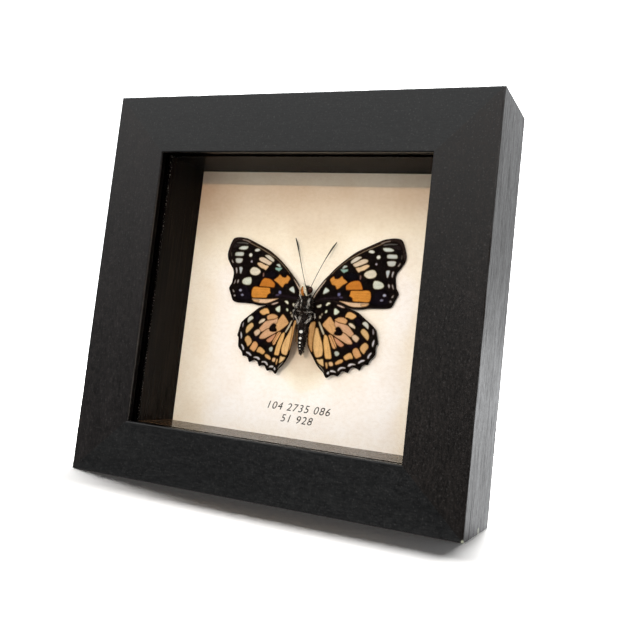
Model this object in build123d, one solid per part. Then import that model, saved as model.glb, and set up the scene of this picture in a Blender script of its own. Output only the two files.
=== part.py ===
from build123d import *
import math
import os

os.makedirs("parts", exist_ok=True)

# ---------------------------------------------------------------- driving sizes (mm)
# X runs to the right, Y from the front face to the back, Z up. The origin is the middle
# of the flat underside, half way between the front and the back face of the wood.

CASE_WIDTH = 150.0
CASE_HEIGHT = 143.3
CASE_DEPTH = 34.5
FACE_WIDTH = 21.8            # front face of the two stiles and the top rail
BOTTOM_FACE_WIDTH = 20.3     # the bottom rail is planed a little narrower
EDGE_ROUND = 0.5             # softened edges of the painted wood

LIP_DEPTH = 3.0              # wood in front of the glass
RABBET_WIDTH = 6.0           # step cut behind the lip
RABBET_CLEARANCE = 0.3       # round the glass, the card and the backboard
LINER_CLEARANCE = 0.1        # between a liner strip and the rabbet wall
LINER_SETBACK = 0.3          # liner faces lie this far outside the sight edge

GLASS_THICKNESS = 2.5
CARD_THICKNESS = 0.8
BACKBOARD_THICKNESS = 3.0

VNAIL_LEG = 7.0
VNAIL_THICKNESS = 0.6
VNAIL_HEIGHT = 7.0
VNAIL_INSET = 6.0            # from the outer side face of the stile

BUTTON_THICKNESS = 1.0
BUTTON_HEEL_RADIUS = 4.5
BUTTON_TIP_RADIUS = 3.0
BUTTON_REACH = 11.0          # pivot to the centre of the tip circle
BUTTON_HEIGHTS = (40.0, 105.0)
BUTTON_GAP = 0.1             # above and below the turning plate
BUTTON_BORE_CLEARANCE = 0.05  # radial, plate on the screw shank

SCREW_SHANK_RADIUS = 1.5
SCREW_DEPTH = 12.0
SCREW_POINT = 2.5
SCREW_HEAD_RADIUS = 3.0
SCREW_HEAD_HEIGHT = 1.7
RECESS_LENGTH = 3.4
RECESS_WIDTH = 0.7
RECESS_DEPTH = 0.9

HANGER_LENGTH = 42.0
HANGER_HEIGHT = 8.0
HANGER_THICKNESS = 0.8
HANGER_TAB = 7.0
HANGER_RAMP = 2.0
HANGER_LIFT = 1.4
TOOTH_PITCH = 3.0
TOOTH_DEPTH = 1.8
TOOTH_COUNT = 8
HANGER_NAIL_RADIUS = 0.75
HANGER_NAIL_DEPTH = 10.0
HANGER_NAIL_HEAD_RADIUS = 1.7
HANGER_NAIL_HEAD_HEIGHT = 0.6

BUMPER_RADIUS = 4.0
BUMPER_HEIGHT = 2.0
BUMPER_INSET = 8.0           # from the side and the bottom of the case

# the specimen: A runs outwards from the body axis, B upwards along it
SPECIMEN_X = 1.0
SPECIMEN_Z = 70.5
SPECIMEN_TILT = 2.0          # degrees, right wings higher
WING_THICKNESS = 0.25
FOREWING_CARD_GAP = 1.85     # front of the forewing root to the card, less its droop
THORAX_SIZE = (2.9, 3.0, 5.2)     # half width, half depth, half length
THORAX_CENTRE_B = -0.6
THORAX_CARD_GAP = 3.9        # thorax axis to the card
HEAD_SIZE = (1.9, 1.8, 1.9)
HEAD_CENTRE_B = 5.6
EYE_SIZE = (0.9, 1.15, 1.25)
EYE_OFFSET_A = 1.5
EYE_CENTRE_B = 5.8
ABDOMEN_CARD_GAP = 4.9
ABDOMEN_STATIONS = ((-4.6, 1.5), (-6.5, 1.85), (-9.5, 1.95), (-13.0, 1.75), (-16.0, 1.3), (-18.4, 0.75))
ABDOMEN_TIP_B = -19.6
ANTENNA_RADIUS = 0.15
CLUB_RADIUS = 0.36
CLUB_LENGTH = 3.0
LEG_RADIUS = 0.3
PAD_RADIUS = 2.0

# ---------------------------------------------------------------- derived places

FRONT = -CASE_DEPTH / 2
BACK = CASE_DEPTH / 2
GLASS_FRONT = FRONT + LIP_DEPTH
GLASS_BACK = GLASS_FRONT + GLASS_THICKNESS
CARD_BACK = BACK - BACKBOARD_THICKNESS
CARD_FRONT = CARD_BACK - CARD_THICKNESS

SIGHT_RIGHT = CASE_WIDTH / 2 - FACE_WIDTH
SIGHT_TOP = CASE_HEIGHT - FACE_WIDTH
SIGHT_BOTTOM = BOTTOM_FACE_WIDTH
RABBET_RIGHT = SIGHT_RIGHT + RABBET_WIDTH
RABBET_TOP = SIGHT_TOP + RABBET_WIDTH
RABBET_BOTTOM = SIGHT_BOTTOM - RABBET_WIDTH
LINER_RIGHT = SIGHT_RIGHT + LINER_SETBACK
LINER_TOP = SIGHT_TOP + LINER_SETBACK
LINER_BOTTOM = SIGHT_BOTTOM - LINER_SETBACK

STILE_CENTRE = (RABBET_RIGHT + CASE_WIDTH / 2) / 2
TOP_RAIL_CENTRE = (RABBET_TOP + CASE_HEIGHT) / 2

OUTER_CORNERS = {
    "top_left": (-CASE_WIDTH / 2, CASE_HEIGHT),
    "top_right": (CASE_WIDTH / 2, CASE_HEIGHT),
    "bottom_right": (CASE_WIDTH / 2, 0.0),
    "bottom_left": (-CASE_WIDTH / 2, 0.0),
}
SIGHT_CORNERS = {
    "top_left": (-SIGHT_RIGHT, SIGHT_TOP),
    "top_right": (SIGHT_RIGHT, SIGHT_TOP),
    "bottom_right": (SIGHT_RIGHT, SIGHT_BOTTOM),
    "bottom_left": (-SIGHT_RIGHT, SIGHT_BOTTOM),
}


# ---------------------------------------------------------------- small helpers

def slab(left, right, front, back, bottom, top):
    """A box between six planes."""
    block = Box(right - left, back - front, top - bottom)
    return Pos((left + right) / 2, (front + back) / 2, (bottom + top) / 2) * block


def upright_prism(points, front, back):
    """A polygon given in X and Z, extruded from front to back."""
    plane = Plane(origin=(0, back, 0), x_dir=(1, 0, 0), z_dir=(0, -1, 0))
    return extrude(plane * make_face(Polyline(*points, close=True)), back - front)


def rear_cylinder(x, z, radius, front, back):
    """A round bar along Y."""
    plane = Plane(origin=(x, front, z), x_dir=(1, 0, 0), z_dir=(0, 1, 0))
    return extrude(plane * Circle(radius), back - front)


def ellipsoid(size, centre):
    """An ellipsoid with its three half sizes and its centre."""
    return Pos(*centre) * scale(Sphere(1.0), by=size)


def group(solids):
    """Several separate solids handed over as one node."""
    return Compound(children=[s.solid() if hasattr(s, "solid") else s for s in solids])


# ---------------------------------------------------------------- the wooden frame

def moulding_profile(face_width):
    """Section of the moulding: first axis from the outer edge inwards, second to the back."""
    step = face_width - RABBET_WIDTH
    outline = Polyline(
        (0, 0),
        (face_width, 0),
        (face_width, LIP_DEPTH),
        (step, LIP_DEPTH),
        (step, CASE_DEPTH),
        (0, CASE_DEPTH),
        close=True,
    )
    section = make_face(outline)
    softened = [v for v in section.vertices() if v.X < 0.01 or (v.Y < 0.01 and v.X > step)]
    return fillet(softened, EDGE_ROUND)


def moulding(origin, inward, along, length, face_width):
    """A straight length of moulding before its mitres are cut."""
    plane = Plane(origin=origin, x_dir=inward, z_dir=along)
    return extrude(plane * moulding_profile(face_width), length)


def mitred(bar, first, second):
    """Cut a bar to the two mitres that run from outer to sight corners."""
    points = (OUTER_CORNERS[first], OUTER_CORNERS[second], SIGHT_CORNERS[second], SIGHT_CORNERS[first])
    return bar & upright_prism(points, FRONT, BACK)


def make_top_rail():
    origin = (-CASE_WIDTH / 2, FRONT, CASE_HEIGHT)
    bar = moulding(origin, (0, 0, -1), (1, 0, 0), CASE_WIDTH, FACE_WIDTH)
    rail = mitred(bar, "top_left", "top_right") - vnail_cutters()
    for nail in hanger_nail_solids():
        rail -= nail
    return rail


def make_bottom_rail():
    origin = (CASE_WIDTH / 2, FRONT, 0)
    bar = moulding(origin, (0, 0, 1), (-1, 0, 0), CASE_WIDTH, BOTTOM_FACE_WIDTH)
    return mitred(bar, "bottom_left", "bottom_right") - vnail_cutters()


def make_stile(side):
    if side < 0:
        bar = moulding((-CASE_WIDTH / 2, FRONT, 0), (1, 0, 0), (0, 0, 1), CASE_HEIGHT, FACE_WIDTH)
        stile = mitred(bar, "bottom_left", "top_left")
    else:
        origin = (CASE_WIDTH / 2, FRONT, CASE_HEIGHT)
        bar = moulding(origin, (-1, 0, 0), (0, 0, -1), CASE_HEIGHT, FACE_WIDTH)
        stile = mitred(bar, "bottom_right", "top_right")
    stile -= vnail_cutters()
    for height in BUTTON_HEIGHTS:
        stile -= screw_body(side * STILE_CENTRE, height)
    return stile


def vnail(corner):
    """One bent strip driven in from the back across a mitre."""
    outer_x, outer_z = OUTER_CORNERS[corner]
    sight_x, sight_z = SIGHT_CORNERS[corner]
    toward_x = math.copysign(1, sight_x - outer_x)
    toward_z = math.copysign(1, sight_z - outer_z)
    slope = abs(sight_z - outer_z) / abs(sight_x - outer_x)
    x = outer_x + toward_x * VNAIL_INSET
    z = outer_z + toward_z * VNAIL_INSET * slope
    far_x = x + toward_x * VNAIL_LEG
    far_z = z + toward_z * VNAIL_LEG
    near_x = x + toward_x * VNAIL_THICKNESS
    near_z = z + toward_z * VNAIL_THICKNESS
    points = ((x, z), (far_x, z), (far_x, near_z), (near_x, near_z), (near_x, far_z), (x, far_z))
    return upright_prism(points, BACK - VNAIL_HEIGHT, BACK)


def vnail_cutters():
    return [vnail(corner) for corner in OUTER_CORNERS]


# ---------------------------------------------------------------- glass, liners, card, back

def make_glass():
    left = -RABBET_RIGHT + RABBET_CLEARANCE
    bottom = RABBET_BOTTOM + RABBET_CLEARANCE
    top = RABBET_TOP - RABBET_CLEARANCE
    return slab(left, -left, GLASS_FRONT, GLASS_BACK, bottom, top)


def make_level_liner(inner, outer):
    """Top or bottom strip, running the full width of the rabbet."""
    end = RABBET_RIGHT - LINER_CLEARANCE
    return slab(-end, end, GLASS_BACK, CARD_FRONT, min(inner, outer), max(inner, outer))


def make_side_liner(side):
    """Upright strip standing between the top and the bottom strip."""
    near = side * LINER_RIGHT
    far = side * (RABBET_RIGHT - LINER_CLEARANCE)
    return slab(min(near, far), max(near, far), GLASS_BACK, CARD_FRONT, LINER_BOTTOM, LINER_TOP)


def make_panel(front, back):
    """A sheet that fills the rabbet."""
    edge = RABBET_RIGHT - RABBET_CLEARANCE
    bottom = RABBET_BOTTOM + RABBET_CLEARANCE
    top = RABBET_TOP - RABBET_CLEARANCE
    return slab(-edge, edge, front, back, bottom, top)


# ---------------------------------------------------------------- hardware on the back

def make_turn_button(side, height):
    """Teardrop plate, shown in its closed place with the tip over the backboard."""
    front = BACK + BUTTON_GAP
    plane = Plane(origin=(side * STILE_CENTRE, front, height), x_dir=(-side, 0, 0), z_dir=(0, 1, 0))
    heel = Circle(BUTTON_HEEL_RADIUS)
    tip = Pos(BUTTON_REACH, 0) * Circle(BUTTON_TIP_RADIUS)
    outline = make_hull([*heel.edges(), *tip.edges()])
    plate = extrude(plane * outline, BUTTON_THICKNESS)
    rear_rim = plate.faces().sort_by(Axis.Y)[-1].edges()
    plate = fillet(rear_rim, BUTTON_THICKNESS * 0.3)
    bore = SCREW_SHANK_RADIUS + BUTTON_BORE_CLEARANCE
    return plate - rear_cylinder(side * STILE_CENTRE, height, bore, front - 1, front + BUTTON_THICKNESS + 1)


def screw_body(x, z):
    """Shank and point of one screw, which also cuts its own seat in the wood."""
    head_under = BACK + 2 * BUTTON_GAP + BUTTON_THICKNESS
    shank = rear_cylinder(x, z, SCREW_SHANK_RADIUS, BACK - SCREW_DEPTH + SCREW_POINT, head_under)
    plane = Plane(origin=(x, BACK - SCREW_DEPTH, z), x_dir=(1, 0, 0), z_dir=(0, 1, 0))
    point = plane * Cone(
        0.2, SCREW_SHANK_RADIUS, SCREW_POINT, align=(Align.CENTER, Align.CENTER, Align.MIN)
    )
    return shank + point


def make_button_screw(x, z):
    head_under = BACK + 2 * BUTTON_GAP + BUTTON_THICKNESS
    head_top = head_under + SCREW_HEAD_HEIGHT
    head = rear_cylinder(x, z, SCREW_HEAD_RADIUS, head_under, head_top)
    head = fillet(head.faces().sort_by(Axis.Y)[-1].edges(), SCREW_HEAD_HEIGHT * 0.6)
    half = RECESS_LENGTH / 2
    thin = RECESS_WIDTH / 2
    floor = head_top - RECESS_DEPTH
    head -= slab(x - half, x + half, floor, head_top + 1, z - thin, z + thin)
    head -= slab(x - thin, x + thin, floor, head_top + 1, z - half, z + half)
    return head + screw_body(x, z)


def make_button_screws():
    places = [(side * STILE_CENTRE, height) for side in (-1, 1) for height in BUTTON_HEIGHTS]
    return group([make_button_screw(x, z) for x, z in places])


def make_sawtooth_hanger():
    """Stamped strip: two flat tabs and a raised middle with teeth along its lower edge."""
    half = HANGER_LENGTH / 2
    bend = half - HANGER_TAB
    raised = bend - HANGER_RAMP
    low = BACK
    high = BACK + HANGER_LIFT
    thick = HANGER_THICKNESS
    points = (
        (-half, low), (-bend, low), (-raised, high), (raised, high), (bend, low), (half, low),
        (half, low + thick), (bend, low + thick), (raised, high + thick),
        (-raised, high + thick), (-bend, low + thick), (-half, low + thick),
    )
    strip = extrude(make_face(Polyline(*points, close=True)), HANGER_HEIGHT)
    base = TOP_RAIL_CENTRE - HANGER_HEIGHT / 2
    strip = Pos(0, 0, base) * strip
    first = -TOOTH_PITCH * TOOTH_COUNT / 2
    for i in range(TOOTH_COUNT):
        left = first + i * TOOTH_PITCH
        notch = ((left, base - 1), (left + TOOTH_PITCH, base - 1), (left + TOOTH_PITCH, base),
                 (left + TOOTH_PITCH / 2, base + TOOTH_DEPTH), (left, base))
        strip -= upright_prism(notch, BACK, BACK + HANGER_LIFT + thick + 1)
    for nail in hanger_nail_solids():
        strip -= nail
    return strip


def hanger_nail_solids():
    under = BACK + HANGER_THICKNESS
    nails = []
    for side in (-1, 1):
        x = side * (HANGER_LENGTH / 2 - HANGER_TAB / 2)
        shank = rear_cylinder(x, TOP_RAIL_CENTRE, HANGER_NAIL_RADIUS, BACK - HANGER_NAIL_DEPTH, under)
        head = rear_cylinder(
            x, TOP_RAIL_CENTRE, HANGER_NAIL_HEAD_RADIUS, under, under + HANGER_NAIL_HEAD_HEIGHT
        )
        nails.append(shank + head)
    return nails


def make_wall_bumpers():
    """Two soft domes that keep the lower edge off the wall."""
    domes = []
    for side in (-1, 1):
        x = side * (CASE_WIDTH / 2 - BUMPER_INSET)
        dome = rear_cylinder(x, BUMPER_INSET, BUMPER_RADIUS, BACK, BACK + BUMPER_HEIGHT)
        domes.append(fillet(dome.faces().sort_by(Axis.Y)[-1].edges(), BUMPER_HEIGHT * 0.7))
    return group(domes)


# ---------------------------------------------------------------- the specimen

FOREWING_OUTLINE = (
    (1.2, 0.9), (1.4, 2.6), (2.2, 4.4), (3.35, 6.2), (4.6, 8.0), (6.0, 9.8), (7.65, 11.5),
    (9.95, 14.0), (12.1, 16.0), (13.9, 17.5), (15.85, 19.0), (17.95, 20.4), (20.1, 21.5),
    (24.0, 23.3), (28.0, 25.05), (30.0, 25.5), (32.0, 25.75), (33.8, 25.65), (35.0, 25.25),
    (35.7, 24.3), (36.45, 22.4), (37.1, 20.0), (37.25, 18.6), (36.9, 17.0), (36.05, 15.5),
    (35.05, 14.1), (34.1, 12.8), (33.7, 11.0), (33.95, 8.7), (34.2, 7.4), (34.9, 6.2),
    (35.25, 5.25), (34.7, 3.9), (34.0, 2.5), (33.5, 1.2), (32.6, 0.2), (30.7, -0.3),
    (27.0, -0.4), (23.8, -0.6), (22.0, -0.95), (20.0, -1.05), (17.5, -0.9), (14.0, -0.5),
    (9.0, 0.1), (4.0, 0.5),
)
HINDWING_OUTLINE = (
    (1.2, 1.0), (4.0, 1.6), (8.0, 2.0), (12.0, 1.7), (13.5, 1.2), (14.9, 0.25), (17.0, -0.8),
    (19.9, -1.75), (21.4, -2.6), (22.9, -3.8), (25.7, -5.95), (27.15, -7.2), (28.0, -8.2),
    (28.4, -9.5), (28.8, -11.2), (29.2, -13.15), (28.65, -13.95), (28.5, -15.5),
    (28.45, -17.1), (27.95, -18.05), (26.9, -19.15), (26.35, -20.0), (26.0, -21.0),
    (24.75, -21.05), (23.8, -21.6), (22.85, -23.25), (21.8, -22.75), (20.5, -22.4),
    (19.3, -22.95), (18.4, -24.5), (17.3, -24.15), (16.0, -24.2), (15.35, -25.15),
    (14.55, -26.0), (13.25, -25.7), (12.05, -25.95), (10.65, -26.95), (9.8, -26.25),
    (9.3, -25.2), (7.9, -23.9), (6.8, -22.7), (5.7, -21.1), (4.8, -19.5), (3.9, -17.5),
    (3.25, -15.3), (2.9, -13.2), (2.8, -11.1), (2.9, -9.2), (3.0, -7.5), (2.6, -5.6),
    (1.8, -4.0),
)
WING_PLANE = CARD_FRONT - FOREWING_CARD_GAP


def forewing_depth(a, b):
    """Front-to-back place of the forewing surface; the tip droops towards the card."""
    return WING_PLANE + 0.034 * (a - 2.0)


def hindwing_depth(a, b):
    """The hindwing lies in front of the forewing and its inner margin curls forward."""
    flat = WING_PLANE - 0.45 + 0.034 * (a - 2.0)
    lower = smooth((16.0 - a) / 10.0) * smooth((-b - 8.0) / 10.0)
    fold = math.exp(-(((a - 2.2) / 2.4) ** 2)) * smooth((-b - 4.5) / 4.5) * smooth((b + 24.0) / 9.0)
    return flat - 1.5 * lower - 3.0 * fold


def smooth(t):
    t = max(0.0, min(1.0, t))
    return t * t * (3 - 2 * t)


def make_wing(outline, depth_at, side):
    """A thin curved sheet trimmed to the wing outline; side is 1 right, -1 left."""
    a_values = [1.0 + 1.5 * i for i in range(26)]
    b_values = [-28.0 + 2.0 * i for i in range(29)]
    if outline is FOREWING_OUTLINE:
        b_values = [-2.0 + 3.0 * i for i in range(11)]
    else:
        b_values = [-28.0 + 1.6 * i for i in range(20)]
    grid = [[Vector(a, depth_at(a, b), b) for b in b_values] for a in a_values]
    sheet = Face.make_surface_from_array_of_points(grid)
    plate = Solid.thicken(sheet, WING_THICKNESS)
    trimmed = plate & upright_prism(outline, FRONT, BACK)
    if side < 0:
        trimmed = mirror(trimmed, about=Plane.YZ)
    return trimmed


def placed(shape):
    """Move a specimen piece from its own axes to its place on the card."""
    return Pos(SPECIMEN_X, 0, SPECIMEN_Z) * Rot(0, -SPECIMEN_TILT, 0) * shape


def thorax_shape():
    centre = (0, CARD_FRONT - THORAX_CARD_GAP, THORAX_CENTRE_B)
    return ellipsoid(THORAX_SIZE, centre)


def head_shape():
    centre = (0, CARD_FRONT - THORAX_CARD_GAP - 0.5, HEAD_CENTRE_B)
    return ellipsoid(HEAD_SIZE, centre) - thorax_shape()


def eye_shape(side):
    centre = (side * EYE_OFFSET_A, CARD_FRONT - THORAX_CARD_GAP - 0.6, EYE_CENTRE_B)
    return ellipsoid(EYE_SIZE, centre) - head_shape() - thorax_shape()


def abdomen_shape():
    depth = CARD_FRONT - ABDOMEN_CARD_GAP
    upper = [(radius, b) for b, radius in ABDOMEN_STATIONS]
    profile = Spline((0, ABDOMEN_STATIONS[0][0] + 1.0), *upper, (0, ABDOMEN_TIP_B))
    axis_line = Line((0, ABDOMEN_TIP_B), (0, ABDOMEN_STATIONS[0][0] + 1.0))
    half = make_face([profile, axis_line])
    body = revolve(Plane.XZ * half, axis=Axis.Z)
    return Pos(0, depth, 0) * body - thorax_shape()


def rod(points, radius):
    """A round rod swept along a smooth line through the given points."""
    path = Spline(*points)
    start = Plane(origin=path @ 0, z_dir=path % 0)
    return sweep(start * Circle(radius), path=path)


ANTENNA_PATH = (
    (0.8, 0.2, 6.4), (1.5, -0.1, 8.6), (3.4, 0.6, 12.8), (5.6, 1.5, 17.8), (7.3, 2.3, 21.6), (8.6, 2.6, 24.2),
)


def antenna_shape(side):
    axis = CARD_FRONT - THORAX_CARD_GAP
    points = [(side * a, axis + y, b) for a, y, b in ANTENNA_PATH]
    stalk = rod(points, ANTENNA_RADIUS)
    tip = Vector(*points[-1])
    step = (tip - Vector(*points[-2])).normalized()
    middle = tip - step * (CLUB_LENGTH / 2)
    club = scale(Sphere(1.0), by=(CLUB_RADIUS, CLUB_RADIUS, CLUB_LENGTH / 2))
    club = Plane(origin=middle, z_dir=step) * club
    return stalk + club - head_shape() - eye_shape(side)


LEG_PATHS = (
    ((1.2, -1.6, 2.0), (3.1, -2.7, -0.8), (2.3, -3.3, -4.2)),
    ((1.2, -2.0, -0.6), (3.5, -2.7, -3.0), (3.0, -2.7, -6.6)),
)


def leg_shapes(side):
    axis = CARD_FRONT - THORAX_CARD_GAP
    solids = []
    for path in LEG_PATHS:
        points = [(side * a, axis + y, b) for a, y, b in path]
        solids.append(rod(points, LEG_RADIUS) - thorax_shape())
    return solids


def palp_shapes():
    axis = CARD_FRONT - THORAX_CARD_GAP
    solids = []
    for side in (-1, 1):
        palp = ellipsoid((0.42, 0.6, 1.5), (side * 0.55, axis - 1.7, 7.1))
        solids.append(palp - head_shape())
    return solids


def pad_shape():
    """Soft dot that glues the thorax to the card."""
    dot = rear_cylinder(0, THORAX_CENTRE_B, PAD_RADIUS, CARD_FRONT - THORAX_CARD_GAP, CARD_FRONT)
    return dot - thorax_shape()


def make_node_table():
    nodes = {
        "top_rail": make_top_rail(),
        "bottom_rail": make_bottom_rail(),
        "left_stile": make_stile(-1),
        "right_stile": make_stile(1),
        "corner_vnails": group(vnail_cutters()),
        "glass_pane": make_glass(),
        "top_liner": make_level_liner(LINER_TOP, RABBET_TOP - LINER_CLEARANCE),
        "bottom_liner": make_level_liner(LINER_BOTTOM, RABBET_BOTTOM + LINER_CLEARANCE),
        "left_liner": make_side_liner(-1),
        "right_liner": make_side_liner(1),
        "backing_card": make_panel(CARD_FRONT, CARD_BACK),
        "backboard": make_panel(CARD_BACK, BACK),
        "button_screws": make_button_screws(),
        "sawtooth_hanger": make_sawtooth_hanger(),
        "hanger_nails": group(hanger_nail_solids()),
        "wall_bumpers": make_wall_bumpers(),
        "thorax": placed(thorax_shape()),
        "abdomen": placed(abdomen_shape()),
        "head": placed(head_shape()),
        "palps": placed(group(palp_shapes())),
        "mounting_pad": placed(pad_shape()),
    }
    for name, side in (("left", -1), ("right", 1)):
        nodes[name + "_eye"] = placed(eye_shape(side))
        nodes[name + "_antenna"] = placed(antenna_shape(side))
        nodes[name + "_legs"] = placed(group(leg_shapes(side)))
        forewing = make_wing(FOREWING_OUTLINE, forewing_depth, side) - thorax_shape() - abdomen_shape()
        hindwing = make_wing(HINDWING_OUTLINE, hindwing_depth, side) - thorax_shape() - abdomen_shape()
        nodes[name + "_forewing"] = placed(forewing)
        nodes[name + "_hindwing"] = placed(hindwing)
        for place, height in zip(("lower", "upper"), BUTTON_HEIGHTS):
            nodes[name + "_" + place + "_turn_button"] = make_turn_button(side, height)
    return nodes


for node_name, shape in make_node_table().items():
    export_step(shape, os.path.join("parts", node_name + ".step"))
    print(node_name, len(shape.solids()), round(shape.volume, 2))
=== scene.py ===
import math
import random
from functools import partial

import bpy
import numpy as np
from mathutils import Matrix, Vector, noise
from mathutils.geometry import delaunay_2d_cdt


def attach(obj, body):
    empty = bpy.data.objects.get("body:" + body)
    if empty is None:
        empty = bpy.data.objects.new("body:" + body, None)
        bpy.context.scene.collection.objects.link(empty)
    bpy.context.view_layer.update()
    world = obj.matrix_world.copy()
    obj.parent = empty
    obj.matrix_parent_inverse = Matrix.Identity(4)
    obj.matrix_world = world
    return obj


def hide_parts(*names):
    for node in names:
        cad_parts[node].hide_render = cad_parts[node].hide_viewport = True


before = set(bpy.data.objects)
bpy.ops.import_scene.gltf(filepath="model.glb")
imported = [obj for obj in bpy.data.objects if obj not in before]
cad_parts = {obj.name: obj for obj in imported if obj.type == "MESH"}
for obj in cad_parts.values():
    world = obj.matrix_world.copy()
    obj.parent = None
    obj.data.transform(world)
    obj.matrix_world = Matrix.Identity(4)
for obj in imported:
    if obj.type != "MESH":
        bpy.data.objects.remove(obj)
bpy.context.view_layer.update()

MM = 0.001
MERGE = 0.0000015                # points closer than this are one, m
CARD_FACE = 13.45                # depth of the card's front face, mm
BODY_X, BODY_Z = 1.0, 70.5       # the butterfly's own origin on the card, mm
TILT = math.radians(2.0)
WING_DEPTH = CARD_FACE - 1.85
THORAX_DEPTH = CARD_FACE - 3.9
ABDOMEN_DEPTH = CARD_FACE - 4.9
SCALE_STEP = 0.16          # spacing of the coloured points of a wing, mm

SMOOTH = {"interpolation_type": "SMOOTHSTEP"}
COLOURS = {"out": 2, "data_type": "RGBA"}          # a Mix node that mixes two colours and not two numbers
MULTIPLIED = {**COLOURS, "blend_type": "MULTIPLY"}


# ------------------------------------------------------------------ small tools

def linear(code):
    """An sRGB hex colour as the linear colour that a socket takes."""
    out = []
    for i in (1, 3, 5):
        c = int(code[i:i + 2], 16) / 255
        out.append(c / 12.92 if c <= 0.04045 else ((c + 0.055) / 1.055) ** 2.4)
    return (*out, 1.0)


def fill(tree, socket, value):
    """Give a socket its link, hex colour or plain value."""
    if isinstance(value, bpy.types.NodeSocket):
        tree.links.new(value, socket)
    else:
        socket.default_value = linear(value) if isinstance(value, str) else value


def add_node(tree, kind, inputs=(), operation=None, out=0, stops=(), **settings):
    """Add one node with its settings and links; returns the output that is wanted."""
    node = tree.nodes.new("ShaderNode" + kind)
    if operation:
        node.operation = operation
    for key, value in settings.items():
        setattr(node, key, value)
    for key, value in inputs.items() if isinstance(inputs, dict) else enumerate(inputs):
        fill(tree, node.inputs[key], value)
    for index, (place, code) in enumerate(stops):
        elements = node.color_ramp.elements
        element = elements[index] if index < len(elements) else elements.new(place)
        element.position = place
        element.color = linear(code)
    return node.outputs[out] if node.outputs else node


def set_surface(material, **sockets):
    """Fill sockets of the Principled surface, each named with _ for a space; returns the material."""
    tree = material.node_tree
    for key, value in sockets.items():
        fill(tree, tree.nodes["Principled BSDF"].inputs[key.replace("_", " ")], value)
    return material


def new_finish(name, **sockets):
    """A Principled material, and the function that adds a node to it."""
    material = bpy.data.materials.new(name)
    material.use_nodes = True
    return set_surface(material, **sockets), partial(add_node, material.node_tree)


def show(material, shader):
    """Let a material show a shader of its own in place of the plain surface."""
    tree = material.node_tree
    tree.links.new(shader, tree.nodes["Material Output"].inputs["Surface"])
    return material


def plain_surface(material):
    """The shader of the Principled surface."""
    return material.node_tree.nodes["Principled BSDF"].outputs[0]


def patterned_finish(name, pattern, scale, detail, stops, bump=None, layer=None, share=0.0, **sockets):
    """A finish with one fine pattern all over, its scale in marks per metre.

    bump gives how deep the pattern is, in metres, and how strong. A layer holds the colour of each
    point of the mesh; the stops then only tone it, by their share.
    """
    material, add = new_finish(name, **sockets)
    marks = add(pattern, {"Vector": add("TexCoord", out="Object"), "Scale": scale, "Detail": detail})
    colour = add("ValToRGB", [marks], stops=stops)
    if layer:
        colour = add("Mix", {0: share, 6: add("VertexColor", layer_name=layer), 7: colour}, **MULTIPLIED)
    if bump:
        set_surface(material, Normal=add("Bump", {"Height": marks, "Distance": bump[0], "Strength": bump[1]}))
    return set_surface(material, Base_Color=colour)


def give(finish, *node_names):
    """Put a finish on carried-over solids."""
    for name in node_names:
        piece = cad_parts[name]
        piece.data.materials.clear()
        piece.data.materials.append(finish)


def on_card(a, depth, b):
    """Butterfly millimetres (outwards, depth, upwards) as a place in the case, in metres."""
    x = BODY_X + a * math.cos(TILT) - b * math.sin(TILT)
    z = BODY_Z + a * math.sin(TILT) + b * math.cos(TILT)
    return Vector((x * MM, depth * MM, z * MM))


def pick_only(*pieces):
    """Leave edit mode and select these pieces alone, the first one active."""
    if bpy.context.object and bpy.context.object.mode != "OBJECT":
        bpy.ops.object.mode_set(mode="OBJECT")
    bpy.ops.object.select_all(action="DESELECT")
    for piece in pieces:
        piece.select_set(True)
    if pieces:
        bpy.context.view_layer.objects.active = pieces[0]


def new_piece(name, data):
    """A mesh, curve, lamp or camera as an object of the scene."""
    piece = bpy.data.objects.new(name, data)
    bpy.context.scene.collection.objects.link(piece)
    return piece


def new_mesh(name, points, faces, layer, colours):
    """A mesh piece with a colour at each of its points."""
    mesh = bpy.data.meshes.new(name)
    mesh.from_pydata(points, [], faces)
    mesh.color_attributes.new(layer, "FLOAT_COLOR", "POINT").data.foreach_set("color", np.array(colours).ravel())
    return new_piece(name, mesh)


def close_up(threshold=MERGE):
    """Merge doubles of the active piece and turn every face outwards."""
    bpy.ops.object.mode_set(mode="EDIT")
    bpy.ops.mesh.select_all(action="SELECT")
    bpy.ops.mesh.remove_doubles(threshold=threshold)
    bpy.ops.mesh.normals_make_consistent(inside=False)
    bpy.ops.object.mode_set(mode="OBJECT")


def close_and_smooth(piece, angle=45):
    pick_only(piece)
    close_up()
    bpy.ops.object.shade_smooth_by_angle(angle=math.radians(angle))


def apply_modifier(piece, kind, **settings):
    pick_only(piece)
    modifier = piece.modifiers.new(kind.lower(), kind)
    for key, value in settings.items():
        setattr(modifier, key, value)
    bpy.ops.object.modifier_apply(modifier=modifier.name)


def roughen(piece, height, size):
    """Dried skin and matted hair: the surface moved in and out by a cloud pattern, in mm."""
    cloud = bpy.data.textures.new(piece.name + "_lumps", "CLOUDS")
    cloud.noise_scale = size * MM
    cloud.noise_depth = 2
    apply_modifier(piece, "DISPLACE", texture=cloud, texture_coords="LOCAL", strength=height * MM, mid_level=0.5)


def set_down(piece, finish, *nodes):
    """Finish a piece, let it stand for its solids, and fix it to the case."""
    piece.data.materials.clear()
    piece.data.materials.append(finish)
    if nodes:
        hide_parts(*nodes)
    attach(piece, "case")


# ------------------------------------------------------------------ finishes of the case

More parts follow.
